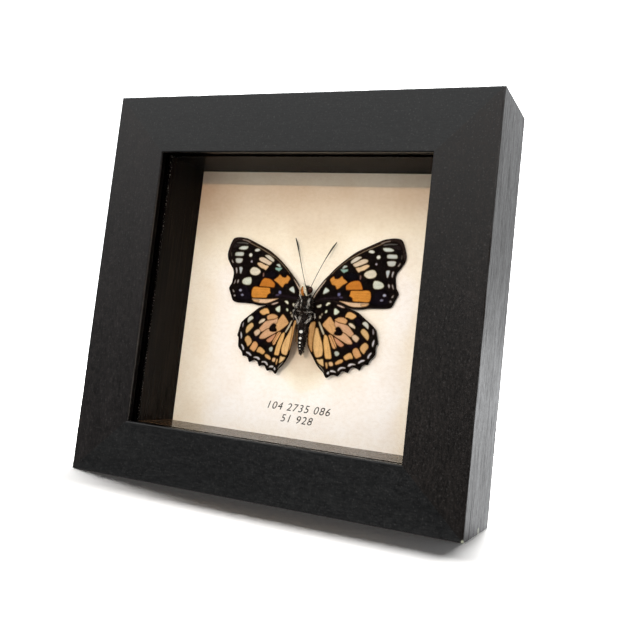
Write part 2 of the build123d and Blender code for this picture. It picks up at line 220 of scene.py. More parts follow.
# places of the case in metres: the mitres' lines, the opening, the lip and the outer faces; the last
# pairs are where a change begins and ends
MITRE_TOP = 0.0683
MITRE_FOOT, MITRE_FOOT_SLOPE = 0.06984, 0.9312
OPENING_HALF_WIDTH, OPENING_HALF_HEIGHT, OPENING_MIDDLE = 0.0532, 0.0506, 0.0709
LIP, SIDE_FACE, TOP_FACE = (-0.0170, -0.0158), (0.0742, 0.0748), (0.1425, 0.1431)
LINER_FRONT, LINER_FOOT = -0.0097, 0.0200
# knocked spots at the foot: the lower right corner, and the side face behind it; place and reach
CHIPS = (((0.0749, -0.0170, 0.0002), 0.0011), ((0.0750, 0.0028, 0.0007), 0.0016))


def along_grain(axis, across, lengthways):
    """Marks per metre along each axis for a pattern drawn out along one of them."""
    return [lengthways if letter == axis else across for letter in "XYZ"]


def black_stained_wood(name, axis, tones):
    """Soft wood, planed, stained black and wiped with matt lacquer.

    It gives near black with a dull shine that picks out a short, broken grain and pale pores, hairline
    mitres, saw marks where the outer faces graze, a sight edge painted black as painted shade and two
    pale chips at the foot.
    """
    wood, add = new_finish(name, IOR=1.5, Coat_Weight=0.0)
    where = add("TexCoord", out="Object")
    x, y, z = (add("SeparateXYZ", [where], out=i) for i in range(3))
    # pores every 0.5 mm and about 2.5 mm long, bands every 6 mm and 50 mm long, and saw marks
    # 0.6 mm apart and 10 mm long
    pores, bands, marks = (add("TexNoise", {
        "Vector": add("Mapping", {"Vector": where, "Scale": along_grain(axis, across, lengthways)}),
        "Scale": 1.0, "Detail": detail, "Roughness": roughness, "Distortion": distortion})
        for across, lengthways, detail, roughness, distortion in (
            (1900.0, 390.0, 5.0, 0.6, 0.25), (160.0, 20.0, 3.0, 0.5, 0.0), (1700.0, 105.0, 3.0, 0.55, 0.0)))
    # brush marks about 1.5 mm across, in every direction
    swirls = add("TexNoise", {"Vector": where, "Scale": 640.0, "Detail": 4.0, "Roughness": 0.65, "Distortion": 1.2})
    grain = add("Math", [pores, 0.45, add("Math", [bands, 0.15], "MULTIPLY")], "MULTIPLY_ADD")
    grain = add("Math", [swirls, 0.40, grain], "MULTIPLY_ADD")
    colour = add("ValToRGB", [grain], stops=tuple(zip((0.36, 0.50, 0.64), tones)))
    specks = add("TexNoise", {"Vector": where, "Scale": 1500.0, "Detail": 1.0})
    specks = add("MapRange", [specks, 0.60, 0.74, 0.0, 0.24])
    colour = add("Mix", {0: specks, 6: colour, 7: "#4d4b49"}, **COLOURS)
    # a hairline at each mitre, 45 degrees above and a little flatter below
    side = add("Math", [x], "ABSOLUTE")
    upper = add("Math", [add("Math", [side, z], "SUBTRACT"), MITRE_TOP], "ADD")
    lower = add("Math", [side, MITRE_FOOT_SLOPE, add("Math", [z, MITRE_FOOT], "SUBTRACT")], "MULTIPLY_ADD")
    nearest = add("Math", [add("Math", [upper], "ABSOLUTE"), add("Math", [lower], "ABSOLUTE")], "MINIMUM")
    seam = add("MapRange", [nearest, 0.00005, 0.00028, 1.0, 0.0], **SMOOTH)
    colour = add("Mix", {0: add("Math", [seam, 0.05], "MULTIPLY"), 6: colour, 7: "#3a3836"}, **COLOURS)
    flakes = add("TexNoise", {"Vector": where, "Scale": 1100.0, "Detail": 2.0})
    for spot, reach in CHIPS:
        gap = add("VectorMath", [where, spot], "DISTANCE", out="Value")
        gap = add("Math", [flakes, reach * 1.2, gap], "MULTIPLY_ADD")
        chip = add("MapRange", [gap, reach * 1.1, reach * 1.5, 0.9, 0.0], **SMOOTH)
        colour = add("Mix", {0: chip, 6: colour, 7: "#a9aa94"}, **COLOURS)
    # painted shade: the sight edge inside the opening is painted black and kept almost without shine, for the shade it
    # lies in
    rise = add("Math", [add("Math", [z, OPENING_MIDDLE], "SUBTRACT")], "ABSOLUTE")
    inner = add("Math", [add("Math", [side, OPENING_HALF_WIDTH], "SUBTRACT"),
                         add("Math", [rise, OPENING_HALF_HEIGHT], "SUBTRACT")], "MAXIMUM")
    edge = add("Math", [add("MapRange", [inner, 0.0002, 0.0006, 1.0, 0.0]),
                        add("MapRange", [y, *LIP], **SMOOTH)], "MULTIPLY")
    colour = add("Mix", {0: edge, 6: colour, 7: "#040303"}, **COLOURS)
    # the saw marks lie under the lacquer of the outer faces and show in its shine
    outer = add("Math", [add("MapRange", [side, *SIDE_FACE]), add("MapRange", [z, *TOP_FACE])], "MAXIMUM")
    marks = add("Mix", {0: outer, 2: 1.0, 3: add("MapRange", [marks, 0.36, 0.64, 0.14, 1.66])})
    level = add("Math", [add("MapRange", [edge, 0.0, 1.0, 0.5, 0.02]), marks], "MULTIPLY")
    height = add("Math", [seam, -0.12, grain], "MULTIPLY_ADD")
    return set_surface(
        wood, Base_Color=colour, Specular_IOR_Level=level,
        Roughness=add("MapRange", [grain, 0.38, 0.62, 0.30, 0.46]),
        Normal=add("Bump", {"Height": height, "Distance": 0.00016, "Strength": 0.30}))


def black_liner_wood(name, axis):
    """Thin strip stained brown-black and left unpolished.

    Dull and nearly black, with a faint shine of the card where it grazes. Its front edge behind the
    glass is painted black as painted shade, with a few painted glints, and the level face under the card
    is painted lighter brown as painted light from above.
    """
    wood, add = new_finish(name, IOR=1.5, Roughness=0.2)
    where = add("TexCoord", out="Object")
    y, z = (add("SeparateXYZ", [where], out=i) for i in (1, 2))
    grain = add("TexNoise", {
        "Vector": add("Mapping", {"Vector": where, "Scale": along_grain(axis, 1500.0, 45.0)}),
        "Scale": 1.0, "Detail": 4.0, "Roughness": 0.6})
    stained, painted_light_tones = (add("ValToRGB", [grain], stops=tuple(zip((0.34, 0.52, 0.70), tones)))
                     for tones in (("#0b0807", "#130e0b", "#211812"), ("#2d2119", "#413022", "#5c4732")))
    # painted shade: the strip's front edge behind the glass is painted black, with no shine
    front = add("MapRange", [y, -0.0098, -0.0090, 1.0, 0.0], **SMOOTH)
    behind = add("Math", [1.0, front], "SUBTRACT")
    colour = add("Mix", {0: front, 6: stained, 7: "#030202"}, **COLOURS)
    # painted light: the level face under the card is painted a lighter brown, for the light it catches from above
    foot = add("MapRange", [z, LINER_FOOT, LINER_FOOT + 0.0005, 1.0, 0.0])
    colour = add("Mix", {0: add("Math", [foot, behind], "MULTIPLY"), 6: colour, 7: painted_light_tones}, **COLOURS)
    # painted glints: pale specks along the front edge stand for light caught there
    dust = add("TexNoise", {"Vector": where, "Scale": 1700.0, "Detail": 1.0})
    line = add("Math", [add("Math", [y, -LINER_FRONT], "ADD")], "ABSOLUTE")
    painted_glint = add("Math", [add("MapRange", [line, 0.0003, 0.0008, 1.0, 0.0], **SMOOTH),
                         add("MapRange", [dust, 0.62, 0.68])], "MULTIPLY")
    colour = add("Mix", {0: painted_glint, 6: colour, 7: "#6f6a66"}, **COLOURS)
    polish = add("Math", [foot, -0.008, add("MapRange", [z, 0.02, 0.12, 0.036, 0.009])], "MULTIPLY_ADD")
    return set_surface(
        wood, Base_Color=colour, Specular_IOR_Level=add("Math", [polish, behind], "MULTIPLY"),
        Normal=add("Bump", {"Height": grain, "Distance": 0.00004, "Strength": 0.15}))


def picture_glass():
    """Museum glass, 2.5 mm: colourless, its coating cancels nearly every reflection.

    The coating is what the low IOR stands for, and with it the case looks open from the front.
    """
    glass, add = new_finish(
        "coated_museum_glass", Roughness=0.0, IOR=1.06, Transmission_Weight=1.0, Base_Color="#fdfefd")
    unseen = add("Math", [add("LightPath", out="Is Shadow Ray"), add("LightPath", out="Is Reflection Ray")], "MAXIMUM")
    through = add("BsdfTransparent", ["#fcfdfc"])
    return show(glass, add("MixShader", [unseen, plain_surface(glass), through]))


def aged_card():
    """Cream card printed with an aged paper tone.

    Pale in the middle and tan to the top and sides, mottled, with fine fibres, painted soft shadow round
    the specimen and a strip painted less tan where the top rail's shadow falls.
    """
    card, add = new_finish("aged_cream_card", IOR=1.46, Roughness=0.85, Specular_IOR_Level=0.3)
    where = add("TexCoord", out="Object")
    x, z = (add("SeparateXYZ", [where], out=i) for i in (0, 2))
    cloud = add("TexNoise", {"Vector": where, "Scale": 26.0, "Detail": 4.0})
    blotch = add("TexNoise", {"Vector": where, "Scale": 110.0, "Detail": 3.0})
    fibres = add("TexNoise", {
        "Vector": add("Mapping", {"Vector": where, "Scale": (620.0, 900.0, 900.0)}), "Scale": 1.0, "Detail": 3.0})
    drift = add("MapRange", [cloud, 0.3, 0.7, -0.004, 0.004])
    # distances from the card's top, left, right and foot, then from two spots of painted shadow round the specimen
    gaps = [add("Math", [axis, way, start], "MULTIPLY_ADD") for axis, way, start in (
        (z, -1.0, 0.1218), (x, 1.0, 0.0535), (x, -1.0, 0.0535), (z, 1.0, -0.020))]
    gaps += [add("VectorMath", [where, spot], "DISTANCE", out="Value") for spot in (
        (0.0012, 0.0135, 0.0500), (0.001, 0.0135, 0.070))]
    reaches = ((0.004, 0.044, 0.67), (-0.001, 0.020, 0.22), (-0.001, 0.016, 0.26), (-0.001, 0.006, 0.03),
               (0.003, 0.014, 0.42), (0.014, 0.040, 0.15))
    parts = [add("MapRange", [add("Math", [gap, drift], "ADD"), near, far, depth, 0.0], **SMOOTH)
             for gap, (near, far, depth) in zip(gaps, reaches)]
    # painted shade colour: the strip in the top rail's shadow is painted less tan, so that the shade there looks grey
    tone = add("Math", [parts[0], add("MapRange", [z, 0.1163, 0.1173, 1.0, 0.7])], "MULTIPLY")
    for part in parts[1:]:
        tone = add("Math", [tone, part], "ADD")
    colour = add("ValToRGB", [tone], stops=(
        (0.0, "#fdf1ea"), (0.10, "#faead9"), (0.35, "#eedcc5"), (0.62, "#d8c0a8"), (1.0, "#b59276")))
    for pattern, low, high, shade, share in ((blotch, 0.30, 0.62, "#f4ece2", 0.4), (fibres, 0.34, 0.6, "#efe8de", 0.3)):
        tint = add("ValToRGB", [pattern], stops=((low, shade), (high, "#ffffff")))
        colour = add("Mix", {0: share, 6: colour, 7: tint}, **MULTIPLIED)
    return set_surface(card, Base_Color=colour,
                       Normal=add("Bump", {"Height": fibres, "Distance": 0.00004, "Strength": 0.4}))


def brown_fibreboard():
    """Hot-pressed hardboard: smooth brown face with darker fibres and pale flecks, no shine."""
    board, add = new_finish("pressed_brown_fibreboard", IOR=1.46, Roughness=0.72)
    where = add("TexCoord", out="Object")
    fibres = add("TexNoise", {"Vector": where, "Scale": 420.0, "Detail": 8.0, "Roughness": 0.7, "Distortion": 1.2})
    flecks = add("TexNoise", {
        "Vector": add("Mapping", {"Vector": where, "Scale": (2000.0, 2000.0, 800.0)}), "Scale": 1.0, "Detail": 3.0})
    stain = add("TexNoise", {"Vector": where, "Scale": 22.0, "Detail": 3.0})
    colour = add("ValToRGB", [fibres], stops=((0.32, "#59402b"), (0.52, "#775740"), (0.70, "#93735a")))
    pale = add("MapRange", [flecks, 0.60, 0.70, 0.0, 0.5], **SMOOTH)
    colour = add("Mix", {0: pale, 6: colour, 7: "#bfa081"}, **COLOURS)
    shade = add("ValToRGB", [stain], stops=((0.35, "#d9d0c6"), (0.65, "#ffffff")))
    colour = add("Mix", {0: 0.8, 6: colour, 7: shade}, **MULTIPLIED)
    return set_surface(board, Base_Color=colour,
                       Normal=add("Bump", {"Height": fibres, "Distance": 0.00006, "Strength": 0.5}))


def plated_steel(name, bright, dull, roughness):
    """Steel stamped or rolled, then plated in a barrel: cloudy plating and fine tumbling marks."""
    steel, add = new_finish(name, Metallic=1.0)
    where = add("TexCoord", out="Object")
    cloud = add("TexNoise", {"Vector": where, "Scale": 380.0, "Detail": 5.0, "Roughness": 0.65})
    marks = add("TexNoise", {
        "Vector": add("Mapping", {"Vector": where, "Scale": (5200.0, 5200.0, 900.0)}), "Scale": 1.0, "Detail": 2.0})
    return set_surface(
        steel, Base_Color=add("ValToRGB", [cloud], stops=((0.34, dull), (0.62, bright))),
        Roughness=add("MapRange", [marks, 0.3, 0.7, roughness - 0.08, roughness + 0.14]),
        Normal=add("Bump", {"Height": marks, "Distance": 0.00002, "Strength": 0.4}))


def clear_bumper():
    """Cast polyurethane: milky clear, soft gloss, a little dust on the dome."""
    bumper, add = new_finish(
        "cast_polyurethane", IOR=1.5, Subsurface_Weight=0.3, Subsurface_Scale=0.002)
    dust = add("TexNoise", {"Vector": add("TexCoord", out="Object"), "Scale": 900.0, "Detail": 4.0})
    return set_surface(
        bumper, Base_Color=add("ValToRGB", [dust], stops=((0.35, "#c3c3bd"), (0.65, "#e4e4e0"))),
        Roughness=add("MapRange", [dust, 0.35, 0.7, 0.18, 0.42]))


# ------------------------------------------------------------------ the wings

# Outlines and lines are written "outwards,upwards" in butterfly millimetres, point after point.
FOREWING_EDGE = (
    "1.2,0.9 1.4,2.6 2.2,4.4 3.35,6.2 4.6,8 6,9.8 7.65,11.5 9.95,14 12.1,16 13.9,17.5 15.85,19 17.95,20.4 "
    "20.1,21.5 24,23.3 28,25.05 30,25.5 32,25.75 33.8,25.65 35,25.25 35.7,24.3 36.45,22.4 37.1,20 37.25,18.6 "
    "36.9,17 36.05,15.5 35.05,14.1 34.1,12.8 33.7,11 33.95,8.7 34.2,7.4 34.9,6.2 35.25,5.25 34.7,3.9 34,2.5 "
    "33.5,1.2 32.6,0.2 30.7,-0.3 27,-0.4 23.8,-0.6 22,-0.95 20,-1.05 17.5,-0.9 14,-0.5 9,0.1 4,0.5")
HINDWING_EDGE = (
    "1.2,1 4,1.6 8,2 12,1.7 13.5,1.2 14.9,0.25 17,-0.8 19.9,-1.75 21.4,-2.6 22.9,-3.8 25.7,-5.95 27.15,-7.2 "
    "28,-8.2 28.4,-9.5 28.8,-11.2 29.2,-13.15 28.65,-13.95 28.5,-15.5 28.45,-17.1 27.95,-18.05 26.9,-19.15 "
    "26.35,-20 26,-21 24.75,-21.05 23.8,-21.6 22.85,-23.25 21.8,-22.75 20.5,-22.4 19.3,-22.95 18.4,-24.5 "
    "17.3,-24.15 16,-24.2 15.35,-25.15 14.55,-26 13.25,-25.7 12.05,-25.95 10.65,-26.95 9.8,-26.25 9.3,-25.2 "
    "7.9,-23.9 6.8,-22.7 5.7,-21.1 4.8,-19.5 3.9,-17.5 3.25,-15.3 2.9,-13.2 2.8,-11.1 2.9,-9.2 3,-7.5 2.6,-5.6 "
    "1.8,-4")

# Each marking: colour, how far it moves outwards, softness of its edge, then its outline.
FOREWING_MARKS = (
    ("#2a1f1b", 0, 0.5, "28,25.2 32,26 35,25.6 37.4,20 37.5,17 36,18.5 35.3,22 33,24.4 29,24.2"),
    ("#3b2e26", 0, 0.35, "3.2,6.6 7.6,12 12,16.4 16,19.5 20.2,22 28,25.3 28.2,24.6 20.6,21.2 16.3,18.7 12.6,15.6 "
     "8.3,11.3 4.1,6.1"),
    ("#c6b3a5", 0, 0.16, "1.9,2.6 2.5,4.1 3.7,6 5.2,8 6.4,9.4 6.5,9.25 5.5,7.8 4.1,5.7 2.9,3.8 2.3,2.5"),
    ("#8b7a68", 0, 0.12, "15.2,17.6 18,19.25 21,20.85 24,22.2 27.8,23.8 27.9,23.6 24.1,21.95 21.1,20.6 18.1,19 "
     "15.3,17.35"),
    ("#6f6253", 0, 0.12, "8.6,11.9 11,14.3 13.4,16.3 15.4,17.9 15.5,17.75 13.5,16.1 11.1,14.1 8.7,11.7"),
    ("#8f7f79", 0, 0.2, "27.2,23.9 29,24.55 30.8,24.85 30.6,24.55 29.1,24.2 27.4,23.55"),
    ("#5a5655", 0, 0.25, "28.2,23.35 30.6,23.75 33.4,23.6 33.2,23.2 30.6,23.25 28.4,22.95"),
    ("#120c12", 0.3, 0.9, "24.8,1.2 25.4,4.6 27.4,6.4 30,6 31.4,3.4 30.2,0.9"),
    ("#0f0b10", 0.3, 0.9, "13.8,10.6 15.6,12.6 18.2,12 18.6,10.4 16.2,9.8"),
    ("#241c1b", 0.2, 0.4, "31.2,22.4 32.4,23.1 34.4,22.9 34.9,21.6 33.4,21.4"),
    ("#21181c", 0.5, 0.6, "3.8,2.4 8,3.3 12.4,3.6 14,2.6 9,2.2 4.4,1.6"),
    ("#cdd0c6", 0.55, 0.16, "5.3,4.2 5.4,5.3 5.95,6.5 6.45,6.55 7.6,5.7 7.35,5.15 6.3,4.55"),
    ("#cb863e", 0.5, 0.14, "7.7,9.6 8.2,10.4 9.15,10.9 9.5,10.1 10.6,10.05 11.4,10.35 12.3,11.15 12.9,10.35 "
     "14.6,9.05 14,8.5 12.8,7.75 11.7,6.8 10.7,6.2 10.3,6.9 9.8,7.6 8.7,7.85 8.3,8.5"),
    ("#b9bfb8", 0.35, 0.16, "12.3,14 12.8,14.9 13.2,15.25 14,15.15 14.35,14.8 13.4,14.3 12.9,13.95"),
    ("#8cab9f", 0.35, 0.16, "11.7,13.6 12.5,13.85 13.4,13.75 14.6,13.8 14.55,13.1 13.7,12.75 13.1,12.4 12.4,12.9"),
    ("#d5c8b6", 0.1, 0.14, "15.9,16.2 15.85,16.85 16.8,17.75 18.1,18.55 19.3,18.7 19.95,18.45 19.4,17.9 17.9,16.85 "
     "16.4,15.95"),
    ("#dac0a5", 0.25, 0.14, "16.55,15.7 17.9,16.5 19.7,17.5 21.1,17.8 22.2,17.55 22.35,16.85 21.3,16.1 19.3,15.3 "
     "17.7,14.65"),
    ("#dfbb94", 0.2, 0.14, "17.9,14.35 19.5,14.75 21.3,15.55 22.55,15.7 23.1,15.25 22.45,14.5 21.1,13.6 19.85,13.2 "
     "19.15,12.75 18.4,13.45"),
    ("#dccdb6", 0.3, 0.16, "21.2,11.95 21.55,12.75 22.9,13.55 24.5,13.85 25.4,13.4 26,12.3 25.5,11.2 24.3,10.7 "
     "22.7,10.7 21.65,11.3"),
    ("#d2d0bd", 0.4, 0.16, "24.95,9.1 25.4,9.8 27,9.7 28.4,9.1 29.05,8.1 28.6,7.3 27.2,6.85 25.4,6.95 24.85,8"),
    ("#c1732a", 0.45, 0.14, "14.25,7.4 14.9,8.2 15.9,9 17.4,9.5 19,9.6 19.9,8.9 20.55,7.6 20.85,6.45 19.5,6.3 "
     "17,6.2 15,5.95 14.4,6.4"),
    ("#d18637", 0.65, 0.14, "16,5.3 16.4,5.85 18.4,5.95 20.6,6 22.6,6.2 23.6,5.7 24,4.6 24,3.2 23.4,1.95 20.2,1.9 "
     "17.3,2 17,3 16.5,3.45 15.7,3.9 15.9,4.5"),
    ("#dfb794", 0.7, 0.16, "11.9,1.75 14,1.65 16.5,1.45 19.5,1.4 23.3,1.45 23.2,0.9 22.4,0.35 20.8,0 19,-0.15 "
     "17,-0.05 15.3,0.4 13.6,1.1"),
    ("#d9a877", 0.7, 0.3, "20.4,0.9 23,1.1 22.8,0.55 21.2,0.2"),
    ("#706f96", 0.65, 0.28, "11.1,4.7 11.9,4.8 12.1,4.1 11.7,3.6 11,3.8"),
    ("#4a4058", 0.65, 0.35, "11.6,3.5 13.1,3.4 13,2.9 11.9,3"),
    ("#846560", 0.4, 0.25, "19.5,11.6 19.95,11.5 19.95,10.3 19.5,10.3"),
    ("#cfd0c6", -0.1, 0.16, "28.25,22 29.3,22.15 30.9,22.1 32,21.65 32.45,21.2 31.55,20.85 29.5,20.8 28.5,21.25"),
    ("#c6c5bb", 0, 0.16, "29.85,19.35 30.6,19.75 33.4,19.65 33.8,18.9 33.5,18.3 30.6,18.25 29.95,18.55"),
    ("#c2bfb6", 0.15, 0.16, "29.9,16.85 30.6,17.25 32.9,17.25 33.2,16.65 32.8,15.65 31.8,15.35 30.5,15.55 "
     "30.1,16.2"),
    ("#e0ddd2", -0.05, 0.14, "22.6,20.65 23.4,21.2 24.4,21.1 25,20.5 24.4,20.05 23.2,20.2"),
    ("#dedad0", -0.1, 0.14, "25.95,18.6 26.4,19.3 27.1,19.25 27.5,18.6 27,17.95 26.3,18"),
    ("#aca6b6", 0.05, 0.16, "25.5,16.1 25.8,16.5 26.2,16.3 26.3,15.9 25.9,15.65 25.6,15.7"),
    ("#c0c2c2", 0.35, 0.16, "29.5,13.4 30.2,13.85 30.95,13.65 30.75,12.55 30.4,11.3 30,11.2 29.7,12.3"),
    ("#bdb6b9", 0.45, 0.16, "32,13.4 32.45,13.3 32.2,12.1 31.95,11.2 31.65,12.1"),
    ("#b3abac", 0.5, 0.16, "30.7,8.8 31.15,8.35 31.1,7.35 30.75,7.55 30.5,8.3"),
    ("#b3abac", 0.5, 0.16, "32.1,8.75 32.5,8 32.7,7 32.3,7.4 32.05,8.1"),
    ("#a6a6bd", 0.85, 0.2, "28.4,4.6 29,5.1 29.7,4.75 29.5,4.25 28.8,4.15"),
    ("#83819a", 0.8, 0.25, "27.5,2.75 28.1,3.2 28.8,2.9 28.5,2.4 27.8,2.35"),
    ("#aaa3a4", 0.75, 0.18, "31.9,3.85 32.2,4.4 32.65,4.75 32.55,4.2 32.15,3.8"),
    ("#9d969c", 0.85, 0.2, "31.1,2.35 31.5,2.8 31.9,2.4 31.6,2"),
    ("#aaa3a0", 0.3, 0.18, "33.9,15.5 34.3,16.1 34.75,16.65 34.75,16.1 34.3,15.45"),
    ("#4b4640", 0.3, 0.3, "34.9,18.2 35.1,19.5 35.4,19.3 35.3,18.2"),
)
HINDWING_MARKS = (
    ("#150d13", 0.6, 0.8, "16.4,-13.6 18.2,-16 20.6,-14.6 21.4,-12.6 19.8,-12.4 18.4,-13.4"),
    ("#140d14", 0.6, 0.8, "19,-4.9 20.6,-7.2 21.6,-6.4 21,-4.4"),
    ("#d3d6c2", 0.5, 0.16, "10.75,-1.45 11.2,-1.05 12.25,-1.7 12.8,-2.2 12.25,-2.95 11.2,-3.45 10.75,-3.05"),
    ("#e6e1cc", 0.55, 0.14, "7.25,0.1 7.7,0.9 8.5,1.1 8.95,0.75 8.4,0.3 7.6,-0.2"),
    ("#dcdfc6", 0.5, 0.14, "7.15,-2.6 7.5,-1.9 8,-1.95 7.95,-2.6 7.45,-2.95"),
    ("#cdc7b4", 0.55, 0.16, "3.5,-0.5 4.3,-0.15 5.2,0.2 5.5,-0.3 5,-0.95 4,-1.05"),
    ("#bcb19c", 0.7, 0.16, "4.8,-4.2 5.2,-4 5.6,-4.4 5.3,-5.05 4.8,-4.9"),
    ("#9c917f", 0.7, 0.16, "5.4,-3.6 5.8,-3.1 6.1,-3.4 5.8,-4"),
    ("#cfb6aa", 0.6, 0.16, "11.7,0.3 12.9,0.2 14.6,-0.5 13.8,-0.65 12.25,-0.1"),
    ("#dca86c", 0.6, 0.15, "15.2,-3.95 16.05,-2.35 17.5,-2.25 19.5,-3.45 18.7,-4.4 17.7,-4.8 16.4,-4.3"),
    ("#dcc7ad", 0.65, 0.2, "16.7,-6.5 17.4,-6.2 18.4,-6.6 19.3,-7.5 19.2,-8.2 18.4,-7.9 17.2,-7.3"),
    ("#d19d69", 0.8, 0.14, "6.3,-7.2 7,-6.2 7.7,-5.4 8.4,-4.6 8.9,-4.25 9.4,-4.5 9.9,-5.2 10.6,-6.1 11.3,-6.6 "
     "12.2,-7 12.6,-7.9 11.6,-8.5 11.9,-9.4 11.2,-10.1 11.4,-10.8 10.9,-11.1 9.9,-10.5 8.8,-9.8 7.5,-8.7 6.6,-7.9"),
    ("#ce9a6a", 0.75, 0.14, "11.1,-5.3 11.6,-4.85 12.5,-4.4 13.6,-4.25 14.8,-4.5 15.9,-5.2 15.8,-6 15.3,-6.6 "
     "14,-6.4 12.8,-6.2 11.8,-6"),
    ("#ce9d78", 0.75, 0.14, "11.2,-5.8 12.8,-6.4 14.5,-6.7 16,-7.05 17.1,-7.9 18.1,-9.1 18.8,-10 18.5,-11.2 "
     "17.2,-11.2 15.8,-10.3 14.7,-9.8 14,-9.2 13.3,-8.2 12.6,-7.9 11.8,-8 11.2,-7.2"),
    ("#d09f78", 0.8, 0.14, "10.9,-10.8 11.6,-10.9 12.9,-11.1 14.1,-10.8 14.6,-10 15.6,-10.3 16.9,-11.3 18,-12.6 "
     "18.5,-13.6 17.9,-14 16.4,-13.9 14.9,-13.2 13.4,-12.4 12,-11.7"),
    ("#d3b294", 0.7, 0.18, "18.3,-11 19.3,-10.4 20.4,-10.9 21.1,-11.6 20.7,-12.6 20.1,-13.1 19.4,-12.7 18.6,-12"),
    ("#120a08", 0.75, 0.14, "11.5,-8.7 12.2,-8 12.9,-7.95 13.7,-8.6 14.3,-9.5 14,-10.6 13.1,-10.8 11.6,-10.8 "
     "11.25,-10.3 11.6,-9.7 11.9,-9.1"),
    ("#c88c68", 0.75, 0.15, "11.4,-11.9 12.1,-12.1 13.6,-13 15.1,-14.1 15.3,-14.6 14.5,-15.1 13.6,-15 12.6,-14.2 "
     "11.8,-13"),
    ("#d99f6a", 1, 0.15, "8.9,-11.2 9.65,-10.9 10.5,-11.5 11.1,-12.75 11.95,-14.25 12.25,-15.6 11.2,-16 "
     "10.1,-14.05 9.25,-12.3"),
    ("#e0ac6c", 1.3, 0.16, "6.95,-11.2 8.1,-11.65 8.8,-13.2 9.65,-15.55 10.3,-18.2 10.4,-19.7 9.2,-19.9 8.35,-19.7 "
     "7.7,-16.9 7.05,-14.05"),
    ("#dfae74", 1.45, 0.16, "3.25,-9.05 4,-8.8 4.85,-11 6.2,-13.85 6.95,-16.2 7.05,-18.2 6.6,-19.15 4.85,-19.65 "
     "4.1,-18.6 3.35,-15.55 3.1,-12.3"),
    ("#cd9860", 0, 0.2, "2.6,-8 3.3,-6.6 4.3,-6.6 4.55,-9 4.5,-12.5 4.6,-15.5 4.75,-17.6 4.3,-17.4 3.6,-15.3 "
     "3.15,-12.5 3.1,-10"),
    ("#c3b59d", 1, 0.16, "4.5,-6.5 5.05,-6.7 6.2,-8.8 7.15,-10.8 6.7,-11 5.5,-9.05"),
    ("#d9b27e", 1.4, 0.15, "5.1,-20.45 6.2,-20.4 7.35,-20.2 7.65,-21.65 7.75,-22.7 6.6,-22.25 5.6,-21.35"),
    ("#cb9e6a", 1.45, 0.15, "8.4,-21.4 9,-21.35 9.25,-22.9 8.9,-23.5 8.45,-22.2"),
    ("#e0b385", 1.5, 0.15, "9.6,-21.05 10.75,-21 11.15,-21.85 10.85,-22.4 9.9,-22.45 9.55,-21.8"),
    ("#d29f66", 1.3, 0.15, "12.05,-21.2 12.9,-20.25 14.2,-19.75 14.95,-20.15 14.45,-21 13.15,-21.6 12.35,-21.8"),
    ("#d2a066", 1.1, 0.15, "15.25,-18.75 16.2,-17.8 17.5,-17.15 18.3,-17.55 18.85,-19 17.5,-19.4 16.25,-19.95 "
     "15.55,-19.5"),
    ("#d49a66", 0.9, 0.15, "18.75,-16.4 19.45,-15.4 20.6,-15.3 21.55,-16.65 22.2,-17.95 21.4,-18.55 20.25,-19 "
     "19.15,-17.7"),
    ("#cfa06b", 0.65, 0.15, "21.85,-15.1 22.5,-13.9 23.75,-13.1 24.8,-13.85 24.95,-14.9 24.2,-15.95 23.5,-17.2 "
     "22.85,-16.8 22.1,-16"),
    ("#d0a873", 0.55, 0.15, "21.75,-9.2 22.25,-8.2 23.15,-8.2 24.6,-9.5 25.05,-11 24.65,-12.2 23.8,-11.6 "
     "22.55,-10.35"),
    ("#cfcabd", 0.35, 0.16, "22.35,-6.2 23.15,-5.4 24.2,-5.8 24.8,-6.85 24.6,-8 23.6,-7.3"),
    ("#8f8981", 1.4, 0.14, "5.9,-22.5 6.6,-23.1 7.5,-24.1 8.1,-24.9 8,-24.4 7.3,-23.5 6.5,-22.7"),
    ("#babbae", 1.25, 0.18, "11.55,-17.3 12.2,-16.85 13.1,-17.2 13.3,-17.9 12.7,-18.6 11.9,-18.5"),
    ("#dcd7df", 0, 0.14, "10.6,-25.2 11,-24.6 11.4,-24.7 11.3,-25.4 10.9,-25.6"),
    ("#d6cfd2", 0, 0.14, "11.8,-24.1 12.5,-23.9 13.5,-24.2 13.8,-24.75 13.1,-24.6 12.4,-24.65 11.8,-24.5"),
    ("#d3ccd0", 0, 0.14, "14.4,-23.85 14.9,-22.95 15.8,-22.5 17.2,-22.6 17.3,-22.95 16.2,-23 15.3,-23.5 14.9,-24"),
    ("#d3ccd0", 0, 0.14, "18.2,-22 18.7,-21.2 19.7,-20.95 20.9,-21.1 21,-21.4 19.8,-21.55 18.9,-22.1"),
    ("#d2ccd6", 0, 0.14, "22.1,-20.6 22.7,-19.9 23.5,-19.45 24.5,-19.4 24.3,-19.85 23.4,-20.2 22.6,-20.75"),
    ("#cbc6cf", 0, 0.14, "25.6,-18.7 25.7,-17.8 26.2,-17 26.9,-16.55 27,-17 26.5,-17.6 26.1,-18.6"),
    ("#d3ced8", 0, 0.14, "27.3,-14.4 27,-13.6 27.2,-12.6 27.7,-11.8 27.8,-12.6 27.6,-13.6"),
    ("#948d96", 0, 0.16, "27,-9.9 26.8,-9 26.8,-8.1 27.2,-8.3 27.4,-9.2 27.3,-9.9"),
)

